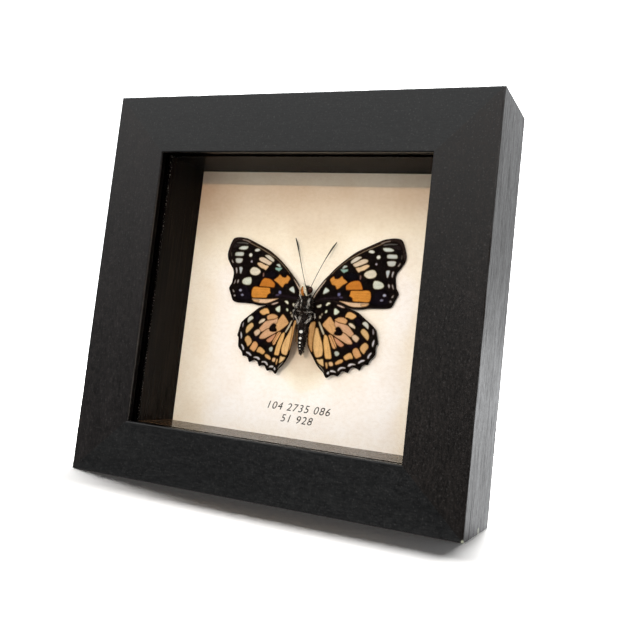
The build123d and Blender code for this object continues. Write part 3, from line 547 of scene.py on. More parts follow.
# Each vein over the markings: half width, darkness, colour, then its line.
FOREWING_VEINS = (
    (0.08, 0.8, "#2a1206", "15.2,6.1 18,6.1 21.5,6.3 24.6,6.2"),
    (0.05, 0.4, "#7a3f12", "16.9,5 20,5.05 24.5,4.9"),
    (0.05, 0.4, "#7a3f12", "17.4,3 21,3.05 24.5,3"),
    (0.04, 0.3, "#8a4a18", "17.6,4 20.6,4.1 24.2,4"),
    (0.04, 0.3, "#7a3f12", "15.2,7.2 18,7.7 21,7.6"),
    (0.07, 0.8, "#2a1206", "12.6,2 16,1.85 20,1.75 24.3,1.75"),
    (0.08, 0.8, "#2c1a10", "15.9,15.85 18.5,16.95 20.6,17.95"),
    (0.08, 0.8, "#2c1a10", "17.5,14.55 20,15.35 22.8,16.4"),
    (0.04, 0.25, "#6b5a48", "16.9,17.1 19.4,18.3"),
    (0.04, 0.25, "#6b5a48", "18,15.9 21.6,17.2"),
    (0.04, 0.25, "#6b5a48", "19.2,14 22.4,15.1"),
    (0.04, 0.3, "#8a5c42", "12.9,1.1 17,0.85 22.6,0.8"),
    (0.04, 0.25, "#6a665a", "22,12.3 25.6,12.5"),
    (0.04, 0.25, "#6a665a", "25.6,8.3 29,8.2"),
)
HINDWING_VEINS = (
    (0.1, 0.85, "#2a1409", "7.1,-7.9 8.5,-9.2 10.4,-10.7 12.3,-11.65 14.4,-12.8 15.9,-13.7 17.2,-14.5"),
    (0.07, 0.7, "#4a2812", "15.3,-9.7 16.6,-10.4 17.8,-11.4 18.9,-12.5"),
    (0.06, 0.6, "#6a3e20", "11.9,-5.6 13.6,-6.25 15.2,-6.6 16.8,-7.1"),
    (0.07, 0.8, "#2a1409", "17.6,-10.9 18.8,-11.6 19.6,-12.7"),
    (0.06, 0.7, "#3a1e0e", "10.6,-4.9 11.2,-5.7 12,-6.5"),
    (0.04, 0.35, "#8a5a34", "12.8,-7 14.6,-8.2 17.6,-9.9"),
    (0.04, 0.3, "#9a6a44", "7.4,-7.3 9.4,-7.2 11.8,-7.4"),
    (0.04, 0.3, "#9a6a44", "9.6,-5.4 10,-7.4 11.4,-9.9"),
    (0.04, 0.3, "#8a5a34", "13.4,-11.6 15.6,-12.5 18.2,-13.8"),
    (0.04, 0.3, "#8a5a34", "13,-12.6 15,-13.8 15.9,-14.5"),
    (0.09, 0.85, "#1c0d06", "10.2,-10.9 11.2,-12.2 12.4,-14.4 13.2,-16"),
    (0.05, 0.4, "#7a4c22", "6.4,-10 6.9,-13.5 7.1,-18.9"),
    (0.05, 0.35, "#7a4c22", "9.3,-12.2 10.2,-15.6 10.8,-19.4"),
    (0.04, 0.35, "#7a4c22", "10.6,-11.6 11.6,-13.6 12.6,-15.8"),
    (0.05, 0.35, "#6a3e20", "3.9,-7 3.9,-10.5 4.2,-15"),
    (0.04, 0.3, "#8a5a34", "8.2,-20.5 8.9,-22.6"),
)

# in mm: the wings' dark rim, the ragged edge of a marking with its brown border and faint fringe, how
# far a vein stands out, and the sheet's thickness
RIM, RAGGED, BORDER, FRINGE, VEIN_RIDGE, SHEET = 0.75, 0.11, 0.35, 0.5, 0.04, 0.08
MARK_STEP = 0.35                 # spacing of the points of a marking's outline, mm


def points_of(text):
    """The points of an outline or a line, as pairs of numbers."""
    return [tuple(map(float, pair.split(","))) for pair in text.split()]


def smooth(t):
    t = np.clip(t, 0.0, 1.0)
    return t * t * (3 - 2 * t)


def forewing_depth(a, b):
    """Depth of the sheet in mm: it droops towards the tip and is pleated between its veins."""
    pleats = 0.05 * np.sin((np.hypot(a, b - 4) * 0.35 + 9.0 * np.arctan2(b - 3.0, a + 1.0)) * 2.0)
    return WING_DEPTH + 0.034 * (a - 2.0) + pleats * smooth((a - 4) / 6)


def hindwing_depth(a, b):
    """The hindwing lies over the forewing and folds forwards along the abdomen."""
    flat = WING_DEPTH - 0.45 + 0.034 * (a - 2.0)
    lower = smooth((16.0 - a) / 10.0) * smooth((-b - 8.0) / 10.0)
    fold = np.exp(-(((a - 2.2) / 2.4) ** 2)) * smooth((-b - 4.5) / 4.5) * smooth((b + 24.0) / 9.0)
    pleats = 0.05 * np.sin(11.0 * np.arctan2(a, -b + 1.0))
    return flat - 1.5 * lower - 3.0 * fold + pleats * smooth((np.hypot(a, b) - 6) / 8)


def rounded_line(points, step):
    """A smooth closed line through listed points, in even short steps."""
    count = len(points)
    line = []
    for i in range(count):
        p0, p1, p2, p3 = (np.array(points[(i + k) % count]) for k in (-1, 0, 1, 2))
        steps = max(2, int(np.linalg.norm(p2 - p1) / step))
        for j in range(steps):
            t = j / steps
            line.append(0.5 * (2 * p1 + (p2 - p0) * t + (2 * p0 - 5 * p1 + 4 * p2 - p3) * t * t
                               + (3 * p1 - p0 - 3 * p2 + p3) * t ** 3))
    return np.array(line)


def gap_to_line(spots, points):
    """Distance of each spot to an open line."""
    best = np.full(len(spots), 1e9)
    for start, end in zip(points[:-1], points[1:]):
        edge, rel = end - start, spots - start
        t = np.clip((rel @ edge) / (edge @ edge + 1e-12), 0, 1)
        best = np.minimum(best, np.hypot(*(rel - t[:, None] * edge).T))
    return best


def gap_to_outline(spots, outline):
    """Distance to a closed outline, negative inside it."""
    closed = np.vstack((outline, outline[:1]))
    inside = np.zeros(len(spots), bool)
    for start, end in zip(closed[:-1], closed[1:]):
        crosses = (start[1] > spots[:, 1]) != (end[1] > spots[:, 1])
        slope = (end[0] - start[0]) / (end[1] - start[1] + 1e-12)
        inside ^= crosses & (spots[:, 0] < start[0] + slope * (spots[:, 1] - start[1]))
    gap = gap_to_line(spots, closed)
    return np.where(inside, -gap, gap)


def noise_at(spots, place):
    return np.array([noise.noise(Vector(place(x, y))) for x, y in spots])


def scale_colours(spots, edge, marks, veins, ground, seed):
    """The colour of the scales at each point: ground, then markings, then veins."""
    near = noise_at(spots, lambda x, y: (x * 0.5 + seed, y * 0.5, seed))
    fine = noise_at(spots, lambda x, y: (x * 3.1, y * 3.1 + seed, 2.0))
    streaks = noise_at(spots, lambda x, y: (math.atan2(y - 3, x + 3) * 30, math.hypot(x, y) * 0.6, seed))
    colour = np.tile(np.array(linear(ground)[:3]), (len(spots), 1)) * (1 + 0.4 * near + 0.3 * streaks)[:, None]
    rim = smooth((RIM + gap_to_outline(spots, edge)) / 0.7)[:, None]
    colour = colour * (1 - rim) + np.array(linear("#1f1713")[:3]) * rim
    for code, shift, soft, text in marks:
        outline = rounded_line(points_of(text), MARK_STEP) + np.array((shift, 0.0))
        low, high = outline.min(axis=0) - 1.0, outline.max(axis=0) + 1.0
        pick = np.all((spots > low) & (spots < high), axis=1)
        if not pick.any():
            continue
        gap = gap_to_outline(spots[pick], outline) + RAGGED * fine[pick]
        part = smooth(0.5 - gap / (2 * soft))[:, None]
        fringe = 0.6 * smooth(1.0 - gap / FRINGE)[:, None]
        inner = smooth(-gap / BORDER)[:, None]
        tone = np.array(linear(code)[:3])
        shade = tone * (np.array((0.72, 0.64, 0.56)) * (1 - inner) + inner)
        shade = shade * (1 + 0.10 * near[pick] + 0.10 * streaks[pick] + 0.06 * fine[pick])[:, None]
        below = colour[pick] * (1 - fringe) + np.minimum(tone * (0.10, 0.055, 0.03), 0.05) * fringe
        colour[pick] = below * (1 - part) + shade * part
    for half, dark, code, text in veins:
        gap = gap_to_line(spots, np.array(points_of(text))) + 0.03 * fine
        part = dark * smooth(1.0 - (gap - half * 0.5) / (half * 1.4))[:, None]
        colour = colour * (1 - part) + np.array(linear(code)[:3]) * part
    return np.clip(colour, 0.0, 1.0)


def make_wing(hand, side, nudge, seed, finish, kind, outline, depth_at, marks, veins, ground):
    """A wing as a fine sheet filled inside its outline, moved outwards by its nudge in mm.

    It is made in mesh code because the markings need a colour at each point of the sheet.
    """
    edge = rounded_line(points_of(outline), SCALE_STEP)
    low, high = edge.min(axis=0), edge.max(axis=0)
    rows = []
    lift = SCALE_STEP * math.sqrt(3) / 2
    for j in range(int((high[1] - low[1]) / lift) + 1):
        start = low[0] + (SCALE_STEP / 2 if j % 2 else 0)
        count = int((high[0] - start) / SCALE_STEP) + 1
        rows.append(np.column_stack((start + SCALE_STEP * np.arange(count), np.full(count, low[1] + j * lift))))
    spots = np.vstack(rows)
    spots = spots[gap_to_outline(spots, edge) < -0.45 * SCALE_STEP]
    points = [Vector(p) for p in edge] + [Vector(p) for p in spots]
    filled = delaunay_2d_cdt(points, [], [tuple(range(len(edge)))], 1, 1e-6)
    flat = np.array([tuple(v) for v in filled[0]])
    depth = depth_at(flat[:, 0], flat[:, 1])
    for half, _, _, text in veins:
        depth = depth - VEIN_RIDGE * np.exp(-((gap_to_line(flat, np.array(points_of(text))) / (half + 0.1)) ** 2))
    colours = scale_colours(flat, edge, marks, veins, ground, seed)
    wing = new_mesh(
        "%s_%s_sheet" % (hand, kind), [on_card(side * (a + nudge), y, b) for (a, b), y in zip(flat, depth)],
        [tuple(f) for f in filled[2]], "scale_colour", np.column_stack((colours, np.ones(len(colours)))))
    apply_modifier(wing, "SOLIDIFY", thickness=SHEET * MM, offset=0.0)
    close_and_smooth(wing, 50)
    set_down(wing, finish, "%s_%s" % (hand, kind))


WINGS = (("forewing", FOREWING_EDGE, forewing_depth, FOREWING_MARKS, FOREWING_VEINS, "#120c0a"),
         ("hindwing", HINDWING_EDGE, hindwing_depth, HINDWING_MARKS, HINDWING_VEINS, "#110b09"))


# ------------------------------------------------------------------ the body

def ball(name, size, centre, segments=40, rings=28):
    """A ball added at its half sizes and place in butterfly millimetres, with its place made its own."""
    pick_only()
    bpy.ops.mesh.primitive_uv_sphere_add(
        segments=segments, ring_count=rings, radius=MM, location=on_card(*centre),
        rotation=(0.0, -TILT, 0.0), scale=size)
    bpy.ops.object.transform_apply(location=True, rotation=True, scale=True)
    piece = bpy.context.object
    piece.name = name
    bpy.ops.object.shade_smooth()
    return piece


def rod(name, points, radii, sides=12, steps=8):
    """A closed rod along a smooth line, with a radius at each point, as a mesh."""
    curve = bpy.data.curves.new(name, "CURVE")
    curve.dimensions = "3D"
    curve.bevel_depth = MM
    curve.bevel_resolution = max(1, sides // 4 - 1)
    curve.use_fill_caps = True
    line = curve.splines.new("NURBS")
    line.points.add(len(points) - 1)
    for target, point, radius in zip(line.points, points, radii):
        target.co = (*on_card(*point), 1.0)
        target.radius = radius
    line.order_u = 3
    line.use_endpoint_u = True
    line.resolution_u = steps
    pick_only(new_piece(name, curve))
    bpy.ops.object.convert(target="MESH")
    piece = bpy.context.object
    close_and_smooth(piece)
    return piece


def joined(name, pieces):
    """Several meshes as one piece."""
    pick_only(*pieces)
    bpy.ops.object.join()
    bpy.context.object.name = name
    return bpy.context.object


def hair(name, roots, seed, finish):
    """Hairs as slim three-sided spikes in one mesh, made in mesh code because there are hundreds.

    roots gives for each hair its root, its direction, its length and half width in mm and its colour.
    Each leaves its direction a little, and has a ring at its root and one at 0.6 of its length.
    """
    rng = random.Random(seed)
    points, faces, tones = [], [], []
    for root, way, length, width, code in roots:
        way = (Vector(way) + Vector([rng.gauss(0, 0.16) for _ in range(3)])).normalized()
        across = way.orthogonal().normalized()
        other = way.cross(across)
        long = length * rng.uniform(0.7, 1.2)
        first = len(points)
        for share, thick in ((0.0, 1.0), (0.6, 0.75)):
            for k in range(3):
                angle = 2 * math.pi * k / 3
                points.append(Vector(root) + way * long * share
                              + (across * math.cos(angle) + other * math.sin(angle)) * width * thick)
        points.append(Vector(root) + way * long)
        for k in range(3):
            n = (k + 1) % 3
            faces.append((first + k, first + n, first + 3 + n, first + 3 + k))
            faces.append((first + 3 + k, first + 3 + n, first + 6))
        faces.append((first + 2, first + 1, first))
        tones += [linear(code)] * 7
    coat = new_mesh(name, [on_card(*p) for p in points], faces, "hair_colour", tones)
    close_and_smooth(coat, 80)
    set_down(coat, finish)


def coat_roots(count, size, centre, length, width, lean, tone, seed):
    """Roots all over the front and sides of an egg shape."""
    rng = random.Random(seed)
    roots = []
    while len(roots) < count:
        up = rng.uniform(-1, 1)
        turn = rng.uniform(0, 2 * math.pi)
        ring = math.sqrt(1 - up * up)
        unit = Vector((ring * math.cos(turn), ring * math.sin(turn), up))
        if unit.y > 0.5:             # the side that lies on the card
            continue
        root = Vector([centre[i] + unit[i] * size[i] * 0.97 for i in range(3)])
        out = Vector([unit[i] / size[i] for i in range(3)]).normalized()
        roots.append((root, (out + Vector(lean)).normalized(), length, width, tone(rng)))
    return roots


def tuft_roots(count, start, end, spread, way, length, width, shades, seed):
    """Roots of a tuft laid along a short line."""
    rng = random.Random(seed)
    roots = []
    for _ in range(count):
        t = rng.random()
        root = [start[i] + (end[i] - start[i]) * t + rng.gauss(0, spread) * (1.0 if i != 1 else 0.4)
                for i in range(3)]
        roots.append((root, way, length, width, rng.choice(shades)))
    return roots


PALE = ("#b3a89e", "#8e8379", "#6c6056", "#cfc6bd")
CREAM = ("#f0e3cf", "#dcc6a4", "#c9ad84")
DARK = ("#0b0706", "#130c08", "#1d130d", "#2e2018")
GREYED = ("#7c7067", "#9a8f85", "#5f4938")
FLECKS = ("#4a3a2e", "#63564b", "#7d746b", "#958e86", "#5b4434")


def dark_hair(rng):
    return rng.choice(DARK if rng.random() < 0.86 else GREYED)


def pale_fleck(rng):
    return rng.choice(FLECKS)


THORAX_STREAKS = (
    # pale streaks of the hair and of the legs' scales: start, end, spread, number of hairs
    ((-2.30, 7.1, 0.7), (-2.45, 7.3, -1.5), 0.26, 60),
    ((2.9, 7.0, 1.9), (2.2, 6.8, -0.9), 0.22, 60),
    ((-2.7, 6.9, -4.5), (-1.1, 6.6, -7.6), 0.16, 55),
    ((0.1, 6.6, -5.0), (-0.9, 6.5, -7.4), 0.10, 30),
    ((-0.6, 6.4, -5.0), (-0.5, 6.4, -5.9), 0.22, 26),
    ((4.2, 7.0, -4.8), (2.1, 6.7, -7.2), 0.26, 80),
    ((0.9, 6.3, -3.4), (4.5, 6.6, -3.2), 0.08, 40),
    ((-2.2, 6.4, -2.9), (-0.4, 6.2, -3.1), 0.10, 20),
    ((-0.2, 6.3, 1.3), (-0.4, 6.3, -1.6), 0.10, 18),
    ((-4.2, 8.6, -2.8), (-4.5, 8.8, -4.6), 0.14, 26),
    ((4.6, 8.6, -3.6), (4.7, 8.7, -5.0), 0.14, 18),
)


def build_thorax(skin, strand):
    centre, size = (0.0, THORAX_DEPTH, -0.6), (2.75, 2.8, 5.0)
    core = ball("thorax_body", size, centre, 64, 48)
    roughen(core, 0.6, 1.1)
    set_down(core, skin, "thorax")
    hair("thorax_fur", coat_roots(1500, size, centre, 1.0, 0.045, (0, -0.1, -0.6), dark_hair, 11), 12, strand)
    streaks = []
    for index, (start, end, spread, count) in enumerate(THORAX_STREAKS):
        way = [end[i] - start[i] for i in range(3)]
        streaks += tuft_roots(count, start, end, spread, way, 0.8, 0.05, PALE, 40 + index)
    hair("thorax_pale_streaks", streaks, 13, strand)
    skirt = []
    for side in (-1, 1):
        skirt += tuft_roots(230, (side * 2.2, 10.4, -4.0), (side * 2.0, 10.0, -8.4), 0.45,
                            (side * 0.12, 0.1, -1.0), 1.9, 0.06, ("#0d0908", "#15100d", "#221a15"), 60 + side)
    hair("thorax_skirt", skirt, 14, strand)
    hair("thorax_flecks", coat_roots(170, size, centre, 0.5, 0.075, (0, -0.1, -1.0), pale_fleck, 15), 16, strand)


# the abdomen's radius in mm at each distance below the butterfly's origin, and its white spots:
# place outwards, place upwards and half width
ABDOMEN_PLACES = (4.6, 6.5, 9.5, 13.0, 16.2, 18.2, 19.4)
ABDOMEN_RADII = (1.45, 1.8, 1.9, 1.66, 1.2, 0.78, 0.3)
ABDOMEN_SPOTS = ((0.42, -10.65, 0.72), (0.25, -13.1, 0.60), (0.12, -14.75, 0.46), (0.1, -16.0, 0.32),
                 (0.12, -17.1, 0.20))


def abdomen_radius(b):
    return float(np.interp(-b, ABDOMEN_PLACES, ABDOMEN_RADII))


def build_abdomen(skin, strand, white):
    line = [(a, ABDOMEN_DEPTH, b) for a, b in (
        (0.35, -3.8), (0.4, -6.5), (0.4, -9.5), (0.3, -13.0), (0.25, -16.2), (0.25, -18.2), (0.3, -19.5))]
    core = rod("abdomen_body", line, (1.3, 1.8, 1.9, 1.7, 1.2, 0.75, 0.08), 40, 12)
    roughen(core, 0.3, 0.8)
    set_down(core, skin, "abdomen")
    rng = random.Random(21)
    roots = []
    while len(roots) < 1100:
        b = rng.uniform(-18.8, -4.6)
        radius = abdomen_radius(b)
        turn = rng.uniform(0, 2 * math.pi)
        if math.sin(turn) > 0.5:     # the side that lies on the card
            continue
        root = (0.33 + radius * math.cos(turn), ABDOMEN_DEPTH + radius * math.sin(turn), b)
        way = (0.35 * math.cos(turn), 0.35 * math.sin(turn) - 0.03, -1.0)
        speckled = rng.random() < 0.13
        code = rng.choice(PALE[1:3] + ("#6d5646",)) if speckled else rng.choice(("#0f0907", "#1a100b", "#281a13"))
        roots.append((root, way, 0.6, 0.045, code))
    hair("abdomen_fur", roots, 22, strand)
    # brown down of the left hindwing's inner margin, lying in the gap beside the abdomen
    down = tuft_roots(460, (-2.7, 11.3, -6.0), (-2.45, 11.3, -11.6), 0.5, (0.02, 0.02, -1.0), 4.0, 0.06,
                      ("#8a5a30", "#a87a4c", "#c69a68", "#dcb88a"), 23)
    hair("left_hindwing_down", down, 24, strand)
    for index, (a, b, wide) in enumerate(ABDOMEN_SPOTS):
        depth = ABDOMEN_DEPTH - abdomen_radius(b)
        spot = ball("abdomen_spot_%d" % index, (wide, 0.26, wide * 0.85), (a, depth + 0.02, b), 20, 14)
        roughen(spot, 0.2, 0.35)
        set_down(spot, white)


def build_head(skin, strand, eye, cream, tawny):
    centre, size = (0.35, THORAX_DEPTH - 0.6, 4.9), (1.75, 1.7, 1.7)
    core = ball("head_body", size, centre)
    roughen(core, 0.4, 0.9)
    set_down(core, skin, "head")
    hair("head_fur", coat_roots(420, size, centre, 0.7, 0.04, (0, -0.2, 0.4), dark_hair, 31), 32, strand)
    for hand, a in (("left", -1.25), ("right", 1.85)):
        lens = ball(hand + "_eye_ball", (0.95, 1.15, 1.25), (a, THORAX_DEPTH - 0.7, 5.3), 32, 24)
        set_down(lens, eye, hand + "_eye")
    set_down(joined("palp_pair", [
        rod("palp", ((-0.95, 7.9, 2.6), (-1.35, 7.0, 4.2), (-1.3, 6.7, 5.6), (-0.5, 7.0, 7.0)),
            (0.16, 0.2, 0.2, 0.08), 16),
        rod("palp", ((1.0, 7.9, 3.0), (0.75, 6.9, 4.4), (0.45, 6.7, 5.8), (-0.1, 7.0, 7.6)),
            (0.3, 0.5, 0.5, 0.10), 16)]), cream, "palps")
    set_down(rod("tongue_sheath", ((-0.25, 7.6, 2.9), (-0.35, 6.9, 4.2), (-0.35, 6.9, 5.4), (-0.2, 7.4, 6.3)),
                 (0.4, 0.78, 0.72, 0.3), 16), tawny)
    fringe = tuft_roots(60, (-1.3, 6.5, 2.8), (-1.25, 6.4, 6.2), 0.10, (0.15, 0, 1), 0.8, 0.05, CREAM, 33)
    fringe += tuft_roots(80, (0.75, 6.4, 3.6), (0.2, 6.3, 7.0), 0.16, (-0.2, 0, 1), 0.8, 0.06,
                         ("#fbf4e8", "#f3e6d0"), 34)
    fringe += tuft_roots(40, (1.9, 6.7, 2.7), (3.7, 7.3, 4.0), 0.08, (1, 0, 0.7), 0.9, 0.05, PALE, 35)
    fringe += tuft_roots(26, (-1.5, 6.9, 3.2), (-0.8, 6.7, 2.0), 0.10, (0.4, 0, -1), 0.7, 0.05, PALE, 36)
    hair("head_pale_hair", fringe, 37, strand)
    hair("head_flecks", coat_roots(70, size, centre, 0.5, 0.09, (0, -0.2, 0.4), pale_fleck, 38), 39, strand)


ANTENNA_RADII = (0.12, 0.11, 0.11, 0.13, 0.25, 0.34, 0.13)
ANTENNA_LINES = {
    "left": ((-0.4, 0.2, 6.2), (-0.9, 0.0, 7.9), (-2.5, 0.5, 12.1), (-4.3, 1.4, 17.1), (-5.8, 2.0, 21.4),
             (-6.6, 2.3, 23.5), (-7.5, 2.5, 25.5)),
    "right": ((1.3, 0.2, 5.6), (1.9, 0.0, 7.0), (4.0, 0.5, 12.3), (6.1, 1.4, 17.3), (7.6, 2.0, 20.4),
              (8.6, 2.3, 22.2), (9.8, 2.5, 24.0)),
}
LEG_LINES = (((1.2, -1.6, 2.0), (3.1, -2.7, -0.8), (2.3, -3.3, -4.2)),
             ((1.2, -2.0, -0.6), (3.5, -2.7, -3.0), (3.0, -2.7, -6.6)))


def build_antennae(horn):
    for hand, line in ANTENNA_LINES.items():
        points = [(a, THORAX_DEPTH + y, b) for a, y, b in line]
        set_down(rod(hand + "_feeler", points, ANTENNA_RADII), horn, hand + "_antenna")


def build_legs(horn):
    for hand, side in (("left", -1), ("right", 1)):
        rods = []
        for line in LEG_LINES:
            start, bend, end = [(side * a, THORAX_DEPTH + y, b) for a, y, b in line]
            rods.append(rod("leg", (start, bend, bend, end), (0.30, 0.26, 0.22, 0.14)))
        set_down(joined(hand + "_leg_pair", rods), horn, hand + "_legs")


# ------------------------------------------------------------------ the caption

def caption_line(name, figures, size, centre_x, base_z, ink):
    """Plain figures printed under the butterfly, as a very thin film of ink."""
    pick_only()
    bpy.ops.object.text_add()
    line = bpy.context.object.data
    line.body = figures
    line.size = size * MM
    line.align_x = "CENTER"
    line.shear = 0.3
    line.space_character = 1.17
    line.extrude = 0.01 * MM
    line.offset = 0.002 * MM
    bpy.ops.object.convert(target="MESH")
    piece = bpy.context.object
    piece.name = name
    close_up(0.0000005)
    piece.rotation_euler = (math.pi / 2, 0.0, 0.0)
    piece.location = (centre_x * MM, (CARD_FACE - 0.012) * MM, base_z * MM)
    bpy.ops.object.transform_apply(location=True, rotation=True, scale=True)
    set_down(piece, ink)


# ------------------------------------------------------------------ put together

# each rail gets its own copy of the finish; the right stile's darker tones are painted shade
for name, axis, tones, rails in (
        ("level", "X", ("#0c0c0c", "#141414", "#1f1f1e"), ("top_rail", "bottom_rail")),
        ("right", "Z", ("#0b0807", "#14100d", "#201915"), ("right_stile",)),
        ("left", "Z", ("#0d0b0a", "#161312", "#231e1c"), ("left_stile",))):
    give(black_stained_wood("black_stained_wood_" + name, axis, tones), *rails)
give(black_liner_wood("black_stained_liner_level", "X"), "top_liner", "bottom_liner")
give(black_liner_wood("black_stained_liner_upright", "Z"), "left_liner", "right_liner")
give(picture_glass(), "glass_pane")
give(aged_card(), "backing_card")
give(brown_fibreboard(), "backboard")
give(plated_steel("zinc_plated_steel", "#c6c8ca", "#8f9193", 0.34),
     *(hand + level + "_turn_button" for level in ("_lower", "_upper") for hand in ("left", "right")))
give(plated_steel("rolled_bare_steel", "#8d8f92", "#5d5f62", 0.42), "corner_vnails")
give(plated_steel("yellow_passivated_steel", "#cdb97e", "#b09f6b", 0.32), "sawtooth_hanger", "hanger_nails")
give(plated_steel("zinc_plated_screw", "#cfd0cf", "#97999a", 0.28), "button_screws")
give(clear_bumper(), "wall_bumpers")
# closed-cell foam: white, dull, with fine pores
give(patterned_finish("white_polyethylene_foam", "TexVoronoi", 2600.0, 0.0, ((0.1, "#b3b2ac"), (0.5, "#eeede8")),
                      (0.0001, 0.6), IOR=1.5, Roughness=0.9), "mounting_pad")

# butterfly scales: dull velvet in rows too fine to show, so drawn every 0.2 mm
WING_SCALES = patterned_finish(
    "butterfly_wing_scales", "TexNoise", 5200.0, 2.0, ((0.32, "#cbcbcb"), (0.66, "#f7f7f7")), (0.00005, 0.4),
    "scale_colour", 0.6, IOR=1.5, Roughness=0.9, Specular_IOR_Level=0.03)
for hand, side, seed, nudges in (("left", -1, 3.0, (0.15, 0.15)), ("right", 1, 8.0, (0.15, -0.15))):
    for index, (wing, nudge) in enumerate(zip(WINGS, nudges)):
        make_wing(hand, side, nudge, seed + index, WING_SCALES, *wing)

# dried skin under the hair: brown-black, dull, with pale scale dust caught in its creases
SKIN = patterned_finish(
    "dried_black_skin", "TexNoise", 1300.0, 4.0, ((0.35, "#0a0605"), (0.56, "#1a110c"), (0.72, "#35281f")),
    (0.0002, 0.6), IOR=1.5, Roughness=0.6, Specular_IOR_Level=0.12)
# hair-like scales: each strand has its own tone, dull with a narrow shine
STRAND = patterned_finish(
    "insect_hair", "TexNoise", 3000.0, 1.0, ((0.3, "#c0c0c0"), (0.7, "#ffffff")), None, "hair_colour", 0.5,
    IOR=1.55, Roughness=0.6, Specular_IOR_Level=0.1)
# compound eye: dark red-brown, glossy over facets too fine to show, drawn every 0.1 mm
EYE = patterned_finish("glossy_compound_eye", "TexVoronoi", 9000.0, 0.0, ((0.0, "#642a17"), (0.6, "#220e08")),
                       (0.00003, 0.4), IOR=1.55, Roughness=0.22)
# bare horny skin, dull, with patches of pale scales: patches per metre, where the tone between them
# ends and where their own begins
HORN = {name: patterned_finish(name, "TexNoise", scale, 2.0, stops, (0.00006, 0.5),
                               IOR=1.55, Roughness=0.45, Specular_IOR_Level=0.3)
        for name, scale, stops in (
            ("white_scale_tuft", 1000.0 / 0.3, ((0.3, "#b8ada1"), (0.6, "#f4eee6"))),
            ("cream_palp_scales", 2000.0, ((0.35, "#c9ad84"), (0.55, "#f0e4cc"))),
            ("tawny_tongue_scales", 2000.0, ((0.35, "#6a3511"), (0.6, "#b9722c"))),
            ("antenna_horn", 1250.0, ((0.5, "#120d0b"), (0.8, "#3a2f28"))),
            ("leg_horn", 1000.0, ((0.52, "#0f0b09"), (0.66, "#8f877d"))))}
build_thorax(SKIN, STRAND)
build_abdomen(SKIN, STRAND, HORN["white_scale_tuft"])
build_head(SKIN, STRAND, EYE, HORN["cream_palp_scales"], HORN["tawny_tongue_scales"])
build_antennae(HORN["antenna_horn"])
build_legs(HORN["leg_horn"])

# thin black printing ink gone brown, broken by the card's tooth
INK = patterned_finish("thin_printing_ink", "TexNoise", 2600.0, 2.0, ((0.35, "#1d1815"), (0.7, "#3c352f")),
                       IOR=1.46, Roughness=0.8)
caption_line("caption_upper", "104 2735 086", 4.1, 0.68, 30.0, INK)
caption_line("caption_lower", "51 928", 4.1, 0.54, 25.7, INK)


# ------------------------------------------------------------------ floor, light, camera

RAYS = ("Is Camera Ray", "Is Transmission Ray", "Is Glossy Ray")
WHITE = (1.0, 1.0, 1.0, 1.0)
SWEEP_WIDTH, SWEEP_FRONT, SWEEP_BACK, SWEEP_HEIGHT = 4.4, -0.26, 1.6, 1.8


def white_sweep():
    """A white paper floor that turns up into the backdrop.

    Its whiteness and shading for the camera aren't those it gives to the object, so that the floor's
    shadow is as deep as in the photograph while the case stays dark below.
    """
    pick_only()
    bpy.ops.mesh.primitive_plane_add(size=1.0)
    paper = bpy.context.object
    paper.name = "paper_sweep"
    for vertex in paper.data.vertices:
        vertex.co.x *= SWEEP_WIDTH
        vertex.co.y = SWEEP_FRONT if vertex.co.y < 0 else SWEEP_BACK
        vertex.select = vertex.co.y > 0
    for edge in paper.data.edges:
        edge.select = all(paper.data.vertices[i].select for i in edge.vertices)
    paper.data.polygons[0].select = False
    bpy.ops.object.mode_set(mode="EDIT")
    bpy.ops.mesh.extrude_region_move(TRANSFORM_OT_translate={"value": (0.0, 0.0, SWEEP_HEIGHT)})
    bpy.ops.object.mode_set(mode="OBJECT")

    material, add = new_finish("matt_white_paper", Roughness=0.9, Specular_IOR_Level=0.0)
    by_camera, through_glass, by_polish = (add("LightPath", out=name) for name in RAYS)
    seen = add("Math", [by_camera, through_glass], "MAXIMUM")
    where = add("TexCoord", out="Object")
    y, z = (add("SeparateXYZ", [where], out=i) for i in (1, 2))
    behind = add("MapRange", [y, -0.03, 0.03], **SMOOTH)
    # near the case the shading leans to the lamps behind, so that the bright room in front doesn't
    # fill the shadow
    lean = add("Math", [add("MapRange", [y, 0.05, 0.3, 2.2, 0.0], **SMOOTH), seen], "MULTIPLY")
    slope = add("VectorMath", [add("NewGeometry", out="Normal"), add("CombineXYZ", {1: lean})], "ADD")
    white = add("Mix", {0: seen, 6: (0.25, 0.232, 0.222, 1.0), 7: (0.95, 0.94, 0.925, 1.0)}, **COLOURS)
    set_surface(material, Base_Color=white, Normal=add("VectorMath", [slope], "NORMALIZE"))
    # the far paper is as white as the backdrop, and the near paper keeps the shadow, tinted by a faint painted warm
    # glow
    far = add("MapRange", [y, 0.0, 0.8, 0.012, 0.85], **SMOOTH)
    hue = add("Mix", {0: behind, 6: (1.0, 0.62, 0.42, 1.0), 7: WHITE}, **COLOURS)
    glow = add("Emission", [hue, add("Math", [seen, far], "MULTIPLY")])
    # what the polish of the case mirrors: the paper in front stays dark, as in the photograph
    wall = add("Math", [add("MapRange", [z, 0.0, 0.32, 2.2, 0.96], **SMOOTH),
                        add("MapRange", [z, 0.35, 0.9, 0.0, 0.30], **SMOOTH)], "ADD")
    wall = add("Math", [wall, add("MapRange", [y, 0.0, 0.7, 0.72, 1.0])], "MULTIPLY")
    mirrored = add("Emission", [(0.97, 0.985, 1.0, 1.0), add("Mix", {0: behind, 2: 0.03, 3: wall})])
    show(material, add("MixShader", [by_polish, add("AddShader", [plain_surface(material), glow]), mirrored]))
    paper.data.materials.append(material)


